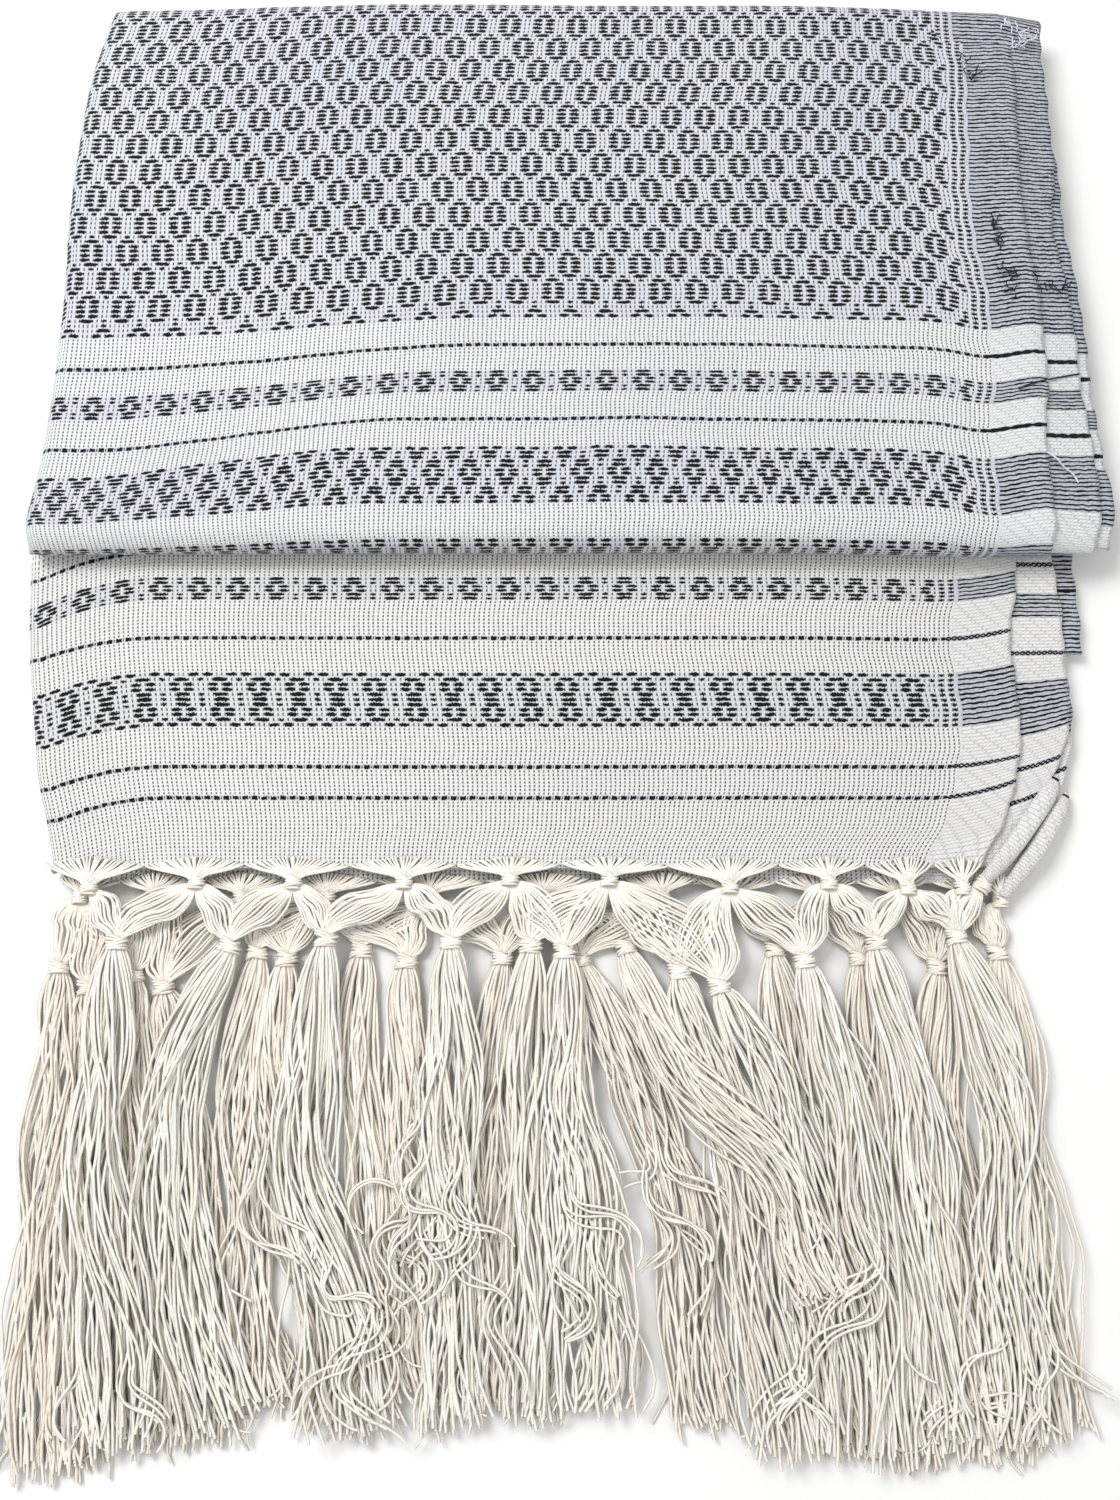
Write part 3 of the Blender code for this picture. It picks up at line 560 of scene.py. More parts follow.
    # painted shade in the weave's recesses: on the column lines, between picks and in the
    # selvedge's basket
    grooveShade = add("MapRange", (rib, 0.35, 1.0, 0.0, 0.10))
    between = add("MapRange", (stagger, 0.30, 0.5, 0.0, 0.16))
    grooveShade = add("Math MAXIMUM", (grooveShade, between))
    grooveShade = add("Math MULTIPLY_ADD", (brick, 0.34, grooveShade))
    for mask, tint in ((shade, "underShade"), (grooveShade, "grooveShade"), (shadedPinhole, "shadedPinhole"),
                       (black, "blackWeft")):
        base = add("Mix", {0: mask, 6: base.outputs[2],
                           7: linearColor(colors[tint])}, data_type="RGBA")
    bump = add("Bump", {"Height": relief, "Strength": 0.55, "Distance": 0.28 * mm})
    tree.links.new(base.outputs[2], shader.inputs["Base Color"])
    tree.links.new(bump.outputs[0], shader.inputs["Normal"])
    shader.inputs["Roughness"].default_value = 0.92
    shader.inputs["Specular IOR Level"].default_value = 0.25
    shader.inputs["Sheen Weight"].default_value = 0.08
    return material


def pliedYarn(name, light, deep, low, high, furrowShadeColor="#8C8270"):
    # two-ply cotton yarn, loosely twisted: matt, with fine slanting plies; tan painted shade low in
    # the pile, and dark painted shade in the ply grooves and on the steep sides of each thread
    material = bpy.data.materials.new(name)
    material.use_nodes = True
    tree = material.node_tree
    add = partial(addNode, tree)
    shader = tree.nodes["Principled BSDF"]
    around = add("Attribute", attribute_name="around").outputs["Vector"]
    around = add("SeparateXYZ", {0: around})
    along = add("Attribute", attribute_name="along").outputs["Fac"]
    thread = add("Attribute", attribute_name="thread").outputs["Fac"]
    ownStart = add("Math MULTIPLY", (thread, 57.0))
    twist = add("Math MULTIPLY_ADD", (along, 2 * math.pi / (2.6 * mm), ownStart))
    sine = add("Math SINE", {0: twist})
    cosine = add("Math COSINE", {0: twist})
    first = add("Math MULTIPLY", (around.outputs[0], cosine))
    ply = add("Math MULTIPLY_ADD", (around.outputs[1], sine, first))
    fuzz = add("TexNoise", {"Vector": add("TexCoord").outputs["Object"],
                            "Scale": 900.0, "Detail": 2.0})
    height = add("Math MULTIPLY_ADD", (ply, 0.5, fuzz))
    tone = add("Mix", {0: thread, 6: linearColor(light), 7: linearColor(deep)}, data_type="RGBA")
    # painted shade: the lower a thread lies in the pile, the more it turns tan
    level = add("SeparateXYZ", {0: add("TexCoord").outputs["Object"]})
    buriedShade = add("MapRange", (level.outputs[2], low * mm, high * mm, 0.22, 0.0))
    tone = add("Mix", {0: buriedShade, 6: tone.outputs[2],
                       7: linearColor(colors["buriedShade"])}, data_type="RGBA")
    # painted shade: darker in the grooves between plies and on the steep sides of each thread
    plyAndSideShade = add("MapRange", (ply, -1.0, 0.0, 0.12, 0.0))
    steepSideShade = add("SeparateXYZ", {0: add("NewGeometry").outputs["Normal"]})
    steepSideShade = add("MapRange", (steepSideShade.outputs[2], 0.0, 0.75, 0.52, 0.0))
    plyAndSideShade = add("Math MAXIMUM", (plyAndSideShade, steepSideShade))
    tone = add("Mix", {0: plyAndSideShade, 6: tone.outputs[2], 7: linearColor(furrowShadeColor)}, data_type="RGBA")
    bump = add("Bump", {"Height": height, "Strength": 0.5, "Distance": 0.15 * mm})
    tree.links.new(tone.outputs[2], shader.inputs["Base Color"])
    tree.links.new(bump.outputs[0], shader.inputs["Normal"])
    shader.inputs["Roughness"].default_value = 0.85
    shader.inputs["Specular IOR Level"].default_value = 0.3
    shader.inputs["Sheen Weight"].default_value = 0.1
    return material


# each cloth's last colour is the cool tint of its painted shade clouds
upperCotton = wovenCotton("handwovenCottonUpper", "#ECEDEE", "#F2F2F2", "#D6DDE7")
lowerCotton = wovenCotton("handwovenCottonLower", "#EFEEEA", "#F4F3F0", "#E0E1E3")
frontYarn = pliedYarn("pliedCottonFront", "#FFFDF8", "#FBF5EA", 2.2, 5.0)
# the back tassels' yarn is a painted-shade copy of the front's cotton, a little warmer and darker
shadedBackYarn = pliedYarn("pliedCottonBackShaded", "#FFFCF4", "#F8F0E2", 0.0, 2.2)
paleYarn = pliedYarn("pliedCottonPale", "#F2F5FB", "#DCE4F0", -2, -1, "#AEB8CA")
navyYarn = pliedYarn("pliedCottonNavy", "#232B45", "#0D111D", -2, -1, "#0B0C12")

print("weaving the upper stretch")
turns = upperCloth["turnColumns"]
flatTop = upperCloth["farEnd"] - foldY - 2 * endRound + upperCloth["arc"]
rows, end = pickRows(-upperCloth["arc"], flatTop + 2 * upperCloth["arc"], upperCloth["bands"])
mesh = clothMesh("upperFront", upperCloth["columns"] + 2 * turns, rows, end, upperPlace,
                 reach=lambda i, s: i >= turns or upperCloth["arc"] < s < flatTop - 2)
upperFront = finishCloth(mesh, upperCotton, upperCloth["thickness"], ["upper_front"])

upperStrip = {
    "start": 139,             # x where the strips go under the front layer
    "columns": 30,
    "selvedgeColumns": 22,
    "thickness": 1.0,
}
strips = {
    # name: plan edge, level, node, bands in mm along y
    "upperBehind": ("behind", 1, "upper_behind", [
        (47, 1.65, bandC), (75.4, 2.0, "R"), (86.7, 1.4, bandB), (105.7, 2.0, "R"),
        (118.2, 1.87, hexGround(15))]),
    "upperThird": ("third", 2, "upper_third", [
        (43.5, 1.6, bandC), (68.5, 2.0, "R"), (80.0, 1.4, bandB), (100.2, 2.0, "R"),
        (111.8, 1.87, hexGround(16))]),
}
stripPieces = []
for name, (edge, level, node, bands) in strips.items():
    place, arc = turnedStrip(edge, upperStrip["start"], upperStrip["columns"], level)
    low, high = foldY + 1.8 * level, topY - 3 - 1.4 * level
    radius = endRound - 1.8 * level
    shift = arc - low - radius
    flatEnd = high - radius + shift
    rows, end = pickRows(-arc * 0.6, flatEnd + 1.6 * arc,
                         [(b + shift, pitch, names) for b, pitch, names in bands])
    mesh = clothMesh(name, upperStrip["columns"], rows, end, place,
                     edgeColumns=upperStrip["selvedgeColumns"])
    stripPieces.append(finishCloth(mesh, upperCotton, upperStrip["thickness"], [node]))

print("weaving the lower stretch")
turns = lowerCloth["turnColumns"]
rows, end = pickRows(hemY, tuckY, lowerCloth["bands"])
mesh = clothMesh("lowerFront", lowerCloth["columns"] + 2 * turns, rows, end, lowerPlace)
lowerFront = finishCloth(mesh, lowerCotton, lowerCloth["thickness"], ["lower_front"])

lowerStrip = {
    "start": 112,
    "columns": 40,
    "selvedgeColumns": 34,
    "thickness": 1.0,
}
lowStrips = {
    # name: plan edge, drop from the top in mm, node, y from and to, slot, bands
    "lowerBehind": ("behind", 1.8, "lower_behind", hemY, tuckY, "lower_cloth", [
        (-64.8, 2.0, "D"), (-51.7, 2.0, "D"), (-38.2, 2.08, ladder), (-4.5, 2.0, "D"),
        (10.5, 1.6, bandB), (30.4, 2.0, "D")]),
    "otherEndFront": ("otherEnd", 3.6, "other_end_front", backHemY, -3.3, "lower_cloth", [
        (-66.6, 2.0, "D"), (-55.5, 2.0, "D"), (-41, 2.0, ladder)]),
    "otherEndBehind": ("otherEnd", 5.4, "other_end_behind", backHemY, -3.3, "lower_cloth", [
        (-70.6, 2.0, "D"), (-58.5, 2.0, "D"), (-44, 2.0, ladder)]),
}
for name, (edge, drop, node, low, high, slot, bands) in lowStrips.items():
    rows, end = pickRows(low, high, bands)
    place = stripPlace(lowerPlan, edge, lowerStrip["start"], lowerStrip["columns"], lowerTop, drop)
    mesh = clothMesh(name, lowerStrip["columns"], rows, end, place,
                     edgeColumns=lowerStrip["selvedgeColumns"])
    stripPieces.append(finishCloth(mesh, lowerCotton, lowerStrip["thickness"], [node]))

turnPlan = {"y": (-10, 60), "edge": (185.5, 185.5)}
rows, end = pickRows(-3, tuckY, [(-3, 1.7, " ".join(["P0"] * 14 + ["R"] + ["P0"] * 18))])
place = stripPlace(turnPlan, "edge", lowerStrip["start"], lowerStrip["columns"], lowerTop, 3.6)
mesh = clothMesh("middleTurn", lowerStrip["columns"], rows, end, place,
                 edgeColumns=lowerStrip["selvedgeColumns"])
stripPieces.append(finishCloth(mesh, upperCotton, lowerStrip["thickness"], ["middle_turn"]))

# ---- the layers that the folds hide: the lower cloth going on to its own far turn, and the
# stepped selvedges under it, as seen from the side and the back

print("laying the hidden layers")
hidden = {
    "columns": 96,
    "turnSteps": 5,           # round a quarter of the lengthwise fold
    "start": 50.4,            # y of its first row, and the rows' pitch and number
    "pitch": 2.9,
    "rows": 81,
    "farEnd": topY - 1.5,
    "arc": 8.5,               # cloth round a quarter of its far turn
    "right": 165,
    "thickness": 1.0,
}
hidden["flatEnd"] = hidden["farEnd"] - lowerRound


def hiddenPlace(i, s):
    # outer layer of the lower pass, under the upper one
    steps = hidden["turnSteps"]
    phi = math.pi / 2 * (2 * steps - i) / steps if i < 2 * steps else 0.0
    psi, y = 0.0, s
    if s > hidden["flatEnd"]:
        psi = math.pi / 2 * (s - hidden["flatEnd"]) / hidden["arc"]
        y = hidden["farEnd"] - lowerRound * (1 - math.sin(psi))
    edge = planX(upperPlan, "fold", y) + 0.4
    left = edge + (planX(lowerPlan, "fold", tuckY) + 0.3 - edge) * (1 - ease((y - 50) / 14))
    if phi:
        x = left + lowerRound * (1 - math.sin(phi))
    else:
        start = left + lowerRound
        x = start + (hidden["right"] - start) * (i - 2 * steps) / hidden["columns"]
    half = lowerTop(x, y) / 2 - 0.1
    sign = -1 if phi > math.pi / 2 + 1e-6 or psi > math.pi / 2 + 1e-6 else 1
    return Vector((x, y, half + 0.1 + sign * half * abs(math.cos(phi) * math.cos(psi)))) * mm


# one row starts at flatEnd, where the underside of the lengthwise fold meets the far turn
rows = [(hidden["start"] + hidden["pitch"] * k, "plain", 0) for k in range(hidden["rows"])]
steps = hidden["turnSteps"]
mesh = clothMesh("hiddenOuter", hidden["columns"] + 2 * steps, rows,
                 hidden["flatEnd"] + 2 * hidden["arc"], hiddenPlace, edgeColumns=0,
                 reach=lambda i, s: i >= steps or s < hidden["flatEnd"] - 1, threads=2)
hiddenPieces = [finishCloth(mesh, lowerCotton, hidden["thickness"], ["hidden_folds"])]
hiddenEdges = {
    # name: x from and to, y from and to, drop from the lower pass's top
    "hiddenEdgeA": (120, 171, 53, 268, 2.2),
    "hiddenEdgeB": (120, 170, 53, 266, 4.6),
    "hiddenEdgeC": (120, 171.5, 53, 267, 7.0),
    "hiddenHem": (-181, 146, backHemY, -40, 4.3),
}
for name, (x0, x1, y0, y1, drop) in hiddenEdges.items():
    columns = int((x1 - x0) / 3.38)
    rows = [(y0 + 2.6 * k, "plain", 0) for k in range(int((y1 - y0) / 2.6))]

    def edgePlace(i, y, x0=x0, x1=x1, drop=drop, columns=columns):
        x = x0 + (x1 - x0) * i / columns + 0.4 * math.sin(y / 2.3 + drop) * (i == columns)
        return Vector((x, y, max(lowerTop(x, y) - drop, 1.1)
                       + 0.15 * noise.noise(Vector((x / 9, y / 9, drop))))) * mm
    mesh = clothMesh(name, columns, rows, y1, edgePlace, edgeColumns=6 if x0 > 0 else 0, threads=2)
    hiddenPieces.append(finishCloth(mesh, lowerCotton, hidden["thickness"], ["hidden_folds"]))

# the corner of the layers behind is rolled into two thick cords, each ending in a first knot

rolls = {
    # name: node, the way down the middle, its heights, half widths and half heights
    "hemRollA": ("lower_behind", ((172.2, -48.4), (167.2, -56.8), (156.7, -71.3), (148.2, -80.9),
                                  (141.6, -88)),
                 (5.5, 7.6, 8.8, 8.9, 8.9), (0.7, 3.2, 3.4, 2.9, 2.1), (0.4, 1.5, 2.0, 1.9, 1.8)),
    "hemRollB": ("other_end_front", ((175.9, -54.5), (171.7, -61.8), (163.5, -74.5),
                                     (155.6, -84.1), (148.9, -93)),
                 (3.7, 5.6, 6.9, 6.6, 5.4), (0.7, 3.0, 3.5, 3.0, 2.1), (0.4, 1.5, 2.0, 1.9, 1.8)),
}
rollThreads = {"around": 10, "length": 51, "thickness": 0.6}


def between(values, s):
    # value at s from 0 to 1 along evenly spaced stops, smooth through them
    n = len(values) - 1
    k = min(int(s * n), n - 1)
    t = s * n - k
    v0, v1 = values[k], values[k + 1]
    before, after = values[max(k - 1, 0)], values[min(k + 2, n)]
    return hermite(t, v0, v1, (v1 - before) / 2, (after - v0) / 2)


for name, (node, middle, heights, widths, depths) in rolls.items():
    stops = [Vector((x, y, z)) for (x, y), z in zip(middle, heights)]

    def rollPlace(i, s, stops=stops, widths=widths, depths=depths):
        t = min(max(s / rollThreads["length"], 0), 1)
        ahead, back = between(stops, min(t + 0.02, 1)), between(stops, max(t - 0.02, 0))
        sideways = Vector((back.y - ahead.y, ahead.x - back.x, 0)).normalized()
        a = 2 * math.pi * (i % rollThreads["around"]) / rollThreads["around"]
        crease = 1 + 0.09 * math.sin(3 * a + s / 5)
        return (between(stops, t) + sideways * between(widths, t) * crease * math.cos(a)
                + Vector((0, 0, between(depths, t) * crease * math.sin(a)))) * mm
    rows, end = pickRows(0, rollThreads["length"], [(3.4, 1.9, "R")])
    mesh = clothMesh(name, rollThreads["around"], rows, end, rollPlace,
                     edgeColumns=rollThreads["around"])
    stripPieces.append(finishCloth(mesh, lowerCotton, rollThreads["thickness"], [node]))

print("spinning the fringe")
hangOver, hangUnder, hangTopmost = "over", "under", "topmost"
frontKnots = [(-170, -90.5), (-133, -88.5), (-99, -88.5), (-60.5, -88.5), (-23.5, -87.5),
              (11, -87.5), (53, -90), (87.5, -88.5), (115, -90.5), (134, -90.5)]
backKnots = [(x, -93) for x in (-174.5, -148, -118, -88, -52, -12, 30, 55, 84, 112, 137)]
backKnots.append((148.4, -94.4))
rollKnot = (141.2, -89.4)                    # of the upper roll, tied in with the last tassel
tassels = [
    # name, lies, second knot x and y, middle of the threads 150, 190 and 230 mm out,
    # tips x and y, spread there
    ("b01", hangUnder, -180, -118, -179, -178, -178, -175, -277, 12),
    ("b02", hangUnder, -169, -125, -166.5, -164.5, -163, -159, -276, 12),
    ("b03", hangUnder, -154, -121, -151.5, -147, -144, -137, -269, 12),
    ("b04", hangUnder, -143, -125, -136, -129.5, -123.5, -121, -268, 14),
    ("b05", hangUnder, -111.5, -113, -114, -112, -105.5, -99, -257, 11),
    ("b06", hangUnder, -101, -115, -102, -96, -82, -82, -264, 15),
    ("b07", hangUnder, -75, -112, -75, -70, -65, -61, -254, 12),
    ("b08", hangUnder, -59, -116, -60, -55, -50, -46, -256, 12),
    ("b09", hangUnder, -26, -115, -29, -30, -28, -26, -256, 14),
    ("b10", hangUnder, 1, -116, 17, 33, 38, 41, -264, 16),
    ("b11", hangTopmost, 17, -111, 34, 66, 74, 77, -226, 13),
    ("b12", hangUnder, 69, -112, 72, 79, 85, 92, -273, 15),
    ("b13", hangUnder, 98, -115, 102, 108, 112, 113, -273, 13),
    ("b14", hangUnder, 125, -118, 122, 124, 131, 134, -275, 15),
    ("b15", hangUnder, 146, -113, 149, 151, 152, 157, -266, 14),
    ("f01", hangOver, -159, -110, -160, -161, -154, -148, -268, 18),
    ("f02", hangOver, -120, -111, -136, -134, -125, -114, -265, 19),
    ("f03", hangOver, -87, -109, -91, -90, -76, -69, -264, 16),
    ("f04", hangOver, -43.5, -110, -43, -43, -40, -40, -266, 16),
    ("f05", hangOver, -16, -111, -17, -16, -13, -13, -261, 14),
    ("f06", hangOver, -4.5, -113, -3, 2, 9, 9, -258, 15),
    ("f07", hangOver, 35, -120, 43, 55, 60, 66, -272, 16),
    ("f08", hangOver, 48.5, -125, 61, 73, 80, 85, -270, 15),
    ("f09", hangOver, 78, -116, 87, 94, 102, 104, -273, 14),
    ("f10", hangOver, 103, -110, 112, 115, 119, 122, -268, 14),
    ("f11", hangOver, 131, -108, 143, 143, 142, 142, -271, 17),
]
threadHeights = {
    hangUnder: (2.8, 2.4, 2.3, 2.2, 1.9),
    hangOver: (7.8, 7.0, 6.4, 5.8, 4.2),
    hangTopmost: (2.8, 10.2, 10.6, 10.4, 9.4),
}
fringe = {
    "threads": {hangUnder: 41, hangOver: 47, hangTopmost: 42},
    "pile": {hangUnder: 3.2, hangOver: 4.6, hangTopmost: 3.6},
    "threadWidth": 1.15,
    "sides": 4,
    "locks": 6,
    "share": {                # of the full width, where threads are drawn tight or are finer
        "hair": 0.7, "curl": 0.85, "net": 0.85, "fan": 0.8, "knot": 0.95, "fuzz": 0.43,
    },
    "halfBundleThreads": 14,
    "knotZ": {hangOver: 8.4, hangUnder: 3.0},
}


def threadSpinner():
    # Geometry Nodes: smooths each thread's path, lets it waver and gives it a round section
    tree = bpy.data.node_groups.new("threadSpinner", "GeometryNodeTree")
    add = partial(addNode, tree)
    sockets = (("Paths", "NodeSocketGeometry"), ("Thread width", "NodeSocketFloat"),
               ("Sides", "NodeSocketInt"), ("Points per stop", "NodeSocketFloat"),
               ("Waver height", "NodeSocketFloat"), ("Waver length", "NodeSocketFloat"),
               ("Seed", "NodeSocketInt"), ("Yarn", "NodeSocketMaterial"))
    for label, kind in sockets:
        tree.interface.new_socket(label, in_out="INPUT", socket_type=kind)
    tree.interface.new_socket("Threads", in_out="OUTPUT", socket_type="NodeSocketGeometry")
    given = add("NodeGroupInput").outputs
    smooth = add("GeometryNodeCurveSplineType", {0: given["Paths"]}, spline_type="CATMULL_ROM")
    smooth = add("GeometryNodeSetSplineResolution", {0: smooth, 2: 6})
    stops = add("GeometryNodeSplineLength").outputs["Point Count"]
    count = add("Math MULTIPLY", (stops, given["Points per stop"]))
    even = add("GeometryNodeResampleCurve", {0: smooth, "Count": count})
    whose = add("GeometryNodeCurveOfPoint").outputs["Curve Index"]
    own = add("FunctionNodeRandomValue", {"ID": whose, "Seed": given["Seed"]})
    ownValue = own.outputs[1]
    along = add("GeometryNodeSplineParameter")
    place = add("GeometryNodeInputPosition")
    scaled = add("VectorMath DIVIDE", (place, given["Waver length"]))
    wander = add("Math MULTIPLY", (ownValue, 90.0))
    cloud = add("TexNoise", {"Vector": scaled, "W": wander, "Scale": 1.0,
                             "Detail": 1.5}, noise_dimensions="4D")
    centred = add("VectorMath SUBTRACT", (cloud.outputs["Color"], (0.5, 0.5, 0.5)))
    flatter = add("VectorMath MULTIPLY", (centred, (2.4, 1.2, 0.8)))
    grows = add("MapRange", (along.outputs["Factor"], 0.02, 0.35))
    size = add("Math MULTIPLY", (grows, given["Waver height"]))
    offset = add("VectorMath SCALE", {0: flatter, "Scale": size})
    moved = add("GeometryNodeSetPosition", {0: even, "Offset": offset})
    parts = add("SeparateXYZ", {0: add("GeometryNodeInputPosition")})
    lowest = add("Math MULTIPLY", (given["Thread width"], 0.55))
    raised = add("Math MAXIMUM", (parts.outputs[2], lowest))
    above = add("CombineXYZ", (parts.outputs[0], parts.outputs[1], raised))
    rested = add("GeometryNodeSetPosition", {0: moved, "Position": above})
    marked = add("GeometryNodeStoreNamedAttribute", {
        0: rested, "Name": "along", "Value": along.outputs["Length"]}, data_type="FLOAT")
    marked = add("GeometryNodeStoreNamedAttribute", {
        0: marked, "Name": "thread", "Value": ownValue}, data_type="FLOAT")
    radius = add("Math MULTIPLY", (given["Thread width"], 0.5))
    ring = add("GeometryNodeCurvePrimitiveCircle", {"Resolution": given["Sides"], "Radius": radius})
    unit = add("VectorMath NORMALIZE", {0: add("GeometryNodeInputPosition")})
    ring = add("GeometryNodeStoreNamedAttribute", {
        0: ring, "Name": "around", "Value": unit}, data_type="FLOAT_VECTOR")
    tube = add("GeometryNodeCurveToMesh", {
        "Curve": marked, "Profile Curve": ring, "Fill Caps": True,
        "Scale": add("GeometryNodeInputRadius")})
    soft = add("GeometryNodeSetShadeSmooth", {0: tube})
    real = add("GeometryNodeRealizeInstances", {0: soft})
    finished = add("GeometryNodeSetMaterial", {0: real, "Material": given["Yarn"]})
    add("NodeGroupOutput", {0: finished})
    return tree


spinner = threadSpinner()


def spin(name, paths, yarn, nodes, fineness=2.2, waver=1.5, seed=1):
    # paths in mm in the plan's frame, each a share of the thread's full width and its points
    curve = bpy.data.curves.new(name + "Paths", "CURVE")
    curve.dimensions = "3D"
    for share, path in paths:
        spline = curve.splines.new("POLY")
        spline.points.add(len(path) - 1)
        for n, (point, place) in enumerate(zip(spline.points, path)):
            point.co = (*(Vector(place) * mm + toMiddle), 1)
            point.radius = share
    source = bpy.data.objects.new(name + "Paths", curve)
    bpy.context.scene.collection.objects.link(source)
    modifier = source.modifiers.new("threadSpinner", "NODES")
    modifier.node_group = spinner
    values = {"Thread width": fringe["threadWidth"] * mm, "Sides": fringe["sides"],
              "Points per stop": fineness, "Waver height": waver * mm,
              "Waver length": 15 * mm, "Seed": seed, "Yarn": yarn}
    for item in spinner.interface.items_tree:
        if item.in_out == "INPUT" and item.name in values:
            modifier[item.identifier] = values[item.name]
    evaluated = source.evaluated_get(bpy.context.evaluated_depsgraph_get())
    mesh = bpy.data.meshes.new_from_object(evaluated)
    mesh.name = name
    bpy.data.objects.remove(source, do_unlink=True)
    piece = bpy.data.objects.new(name, mesh)
    bpy.context.scene.collection.objects.link(piece)
    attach(piece, "root")
    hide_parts(*nodes)
    return piece


def tasselThreads(row, chance):
    # a sunflower of threads tied tight at the second knot, parting into wandering locks
    name, lies, knotX, knotY, x150, x190, x230, tipX, tipY, spread = row
    stops = [(knotX, knotY)]
    stops += [(x, y) for x, y in zip((x150, x190, x230), (-150, -190, -230)) if y > tipY + 12]
    stops += [(tipX, tipY)]
    heights = list(threadHeights[lies][:len(stops) - 1]) + [threadHeights[lies][-1]]
    centres = [Vector((x, y, z)) for (x, y), z in zip(stops, heights)]
    length = knotY - tipY
    count = fringe["threads"][lies]
    locks = [(chance.uniform(0, 6.3), chance.uniform(1.3, 2.7), chance.uniform(1.2, 3.2),
              chance.uniform(-0.045, 0.02)) for _ in range(fringe["locks"])]
    twist = chance.choice((-1, 1)) * chance.uniform(0.7, 1.9)
    paths = []
    samples = 14
    for k in range(count):
        turn = k * 2.39996
        out = math.sqrt((k + 0.5) / count)
        shareX, shareZ = 0.5 * out * math.cos(turn), 0.5 * out * math.sin(turn)
        lock = min(int((shareX + 0.5) * fringe["locks"]), fringe["locks"] - 1)
        lockX = (lock + 0.5) / fringe["locks"] - 0.5
        phase, rate, sway, lockReach = locks[lock]
        slow = (chance.uniform(0, 6.3), chance.uniform(0.5, 1.1), chance.uniform(0.3, 1.9))
        quick = (chance.uniform(0, 6.3), chance.uniform(2.0, 4.6), chance.uniform(0.15, 0.85))
        lean = chance.gauss(0, 1.6)
        reach = 1 + lockReach + chance.uniform(-0.03, 0.015)
        rise = chance.uniform(-0.5, 0.5)
        if chance.random() < 0.08:            # a thread that strays over its neighbours
            slow, rise = (slow[0], slow[1], slow[2] + 3.0), 1.8
        path = []
        for n in range(samples):
            s = n / (samples - 1) * reach
            over = max(0, s - 1) * length
            s = min(s, 1)
            far = s * length
            free = 1 - math.exp(-far / 8)
            loose = ease(far / 45)
            width = 5.4 + (8.6 + (1.58 * spread - 14) * s) * free
            pile = 3.8 + (fringe["pile"][lies] - 3.8) * free - 0.8 * ease((s - 0.8) * 5)
            centre = between(centres, s)
            ahead, behind = between(centres, min(s + 0.03, 1)), between(centres, max(s - 0.03, 0))
            flow = (ahead - behind).normalized()
            sideways = Vector((-flow.y, flow.x, 0)).normalized()
            turned = twist * far / 60 * (1 - 0.5 * s)
            acrossShare = shareX * math.cos(turned) + shareZ * math.sin(turned)
            toLock = 0.46 * loose + 0.28 * ease((s - 0.7) * 3.4)
            gathered = acrossShare + (lockX - shareX) * toLock
            drift = sway * math.sin(phase + 6.28 * rate * s) * loose
            drift += slow[2] * math.sin(slow[0] + 6.28 * slow[1] * s) * loose
            drift += quick[2] * math.sin(quick[0] + 6.28 * quick[1] * s) * loose
            drift += lean * ease((s - 0.55) * 2.2)
            place = centre + flow * over + sideways * (gathered * width + drift)
            place.z += ((shareZ * math.cos(turned) - shareX * math.sin(turned)) * pile
                        + 0.4 + rise * loose)
            path.append(place)
        paths.append((1.0, path))
    return paths


def tipHairs(row, chance, count=6):
    # single strands worked loose at the cut ends
    name, lies, tipX, tipY, spread = row[0], row[1], row[7], row[8], row[9]
    paths = []
    for _ in range(count):
        x = tipX + chance.uniform(-0.75, 0.75) * spread
        y = tipY + chance.uniform(12, 26)
        z = threadHeights[lies][-1] + chance.uniform(-0.5, 2.0)
        heading = -math.pi / 2 + chance.uniform(-0.4, 0.4)
        bend = chance.uniform(-0.35, 0.35)
        path = []
        for _ in range(6):
            path.append(Vector((x, y, z)))
            x, y = x + 3.6 * math.cos(heading), y + 3.6 * math.sin(heading)
            heading += bend + chance.uniform(-0.3, 0.3)
            z = max(0.6, z - 0.25)
        paths.append((fringe["share"]["hair"], path))
    return paths


def curls(place, size, count, chance, z):
    # sheaves of threads that sprang out of their tassel and sweep across it in soft waves
    paths = []
    for _ in range(max(2, int(count / 2.5))):
        x = place[0] + chance.uniform(-1, 1) * size[0]
        y = place[1] + chance.uniform(0.1, 1.6) * size[1]
        lean, swing = chance.gauss(0, 0.3), chance.uniform(0.6, 1.35)
        start, rate = chance.uniform(0, 6.3), chance.uniform(0.28, 0.55)
        lead = []
        for n in range(chance.randint(13, 19)):
            heading = -math.pi / 2 + ease(n / 6) * (lean + swing * math.sin(start + rate * n))
            lead.append((x, y, heading))
            x, y = x + 3.2 * math.cos(heading), y + 3.2 * math.sin(heading)
            if y < -270:
                break
        for strand in range(chance.randint(2, 4)):
            aside = (strand - 1.5) * 1.4 + chance.uniform(-0.7, 0.7)
            parts, phase = chance.uniform(-0.14, 0.14), chance.uniform(0, 6.3)
            first, last = chance.randint(0, 2), max(6, len(lead) - chance.randint(0, 3))
            path = []
            for n, (x, y, heading) in enumerate(lead[first:last]):
                away = aside * (1 + parts * n) + 0.7 * math.sin(phase + 0.7 * n)
                path.append(Vector((x - away * math.sin(heading), y + away * math.cos(heading),
                                    z + 0.35 * strand + 0.4 * math.sin(phase + 0.5 * n)
                                    - 2.6 * (1 - ease(n / 5)))))
            if len(path) > 3:
                paths.append((fringe["share"]["curl"], path))
    return paths


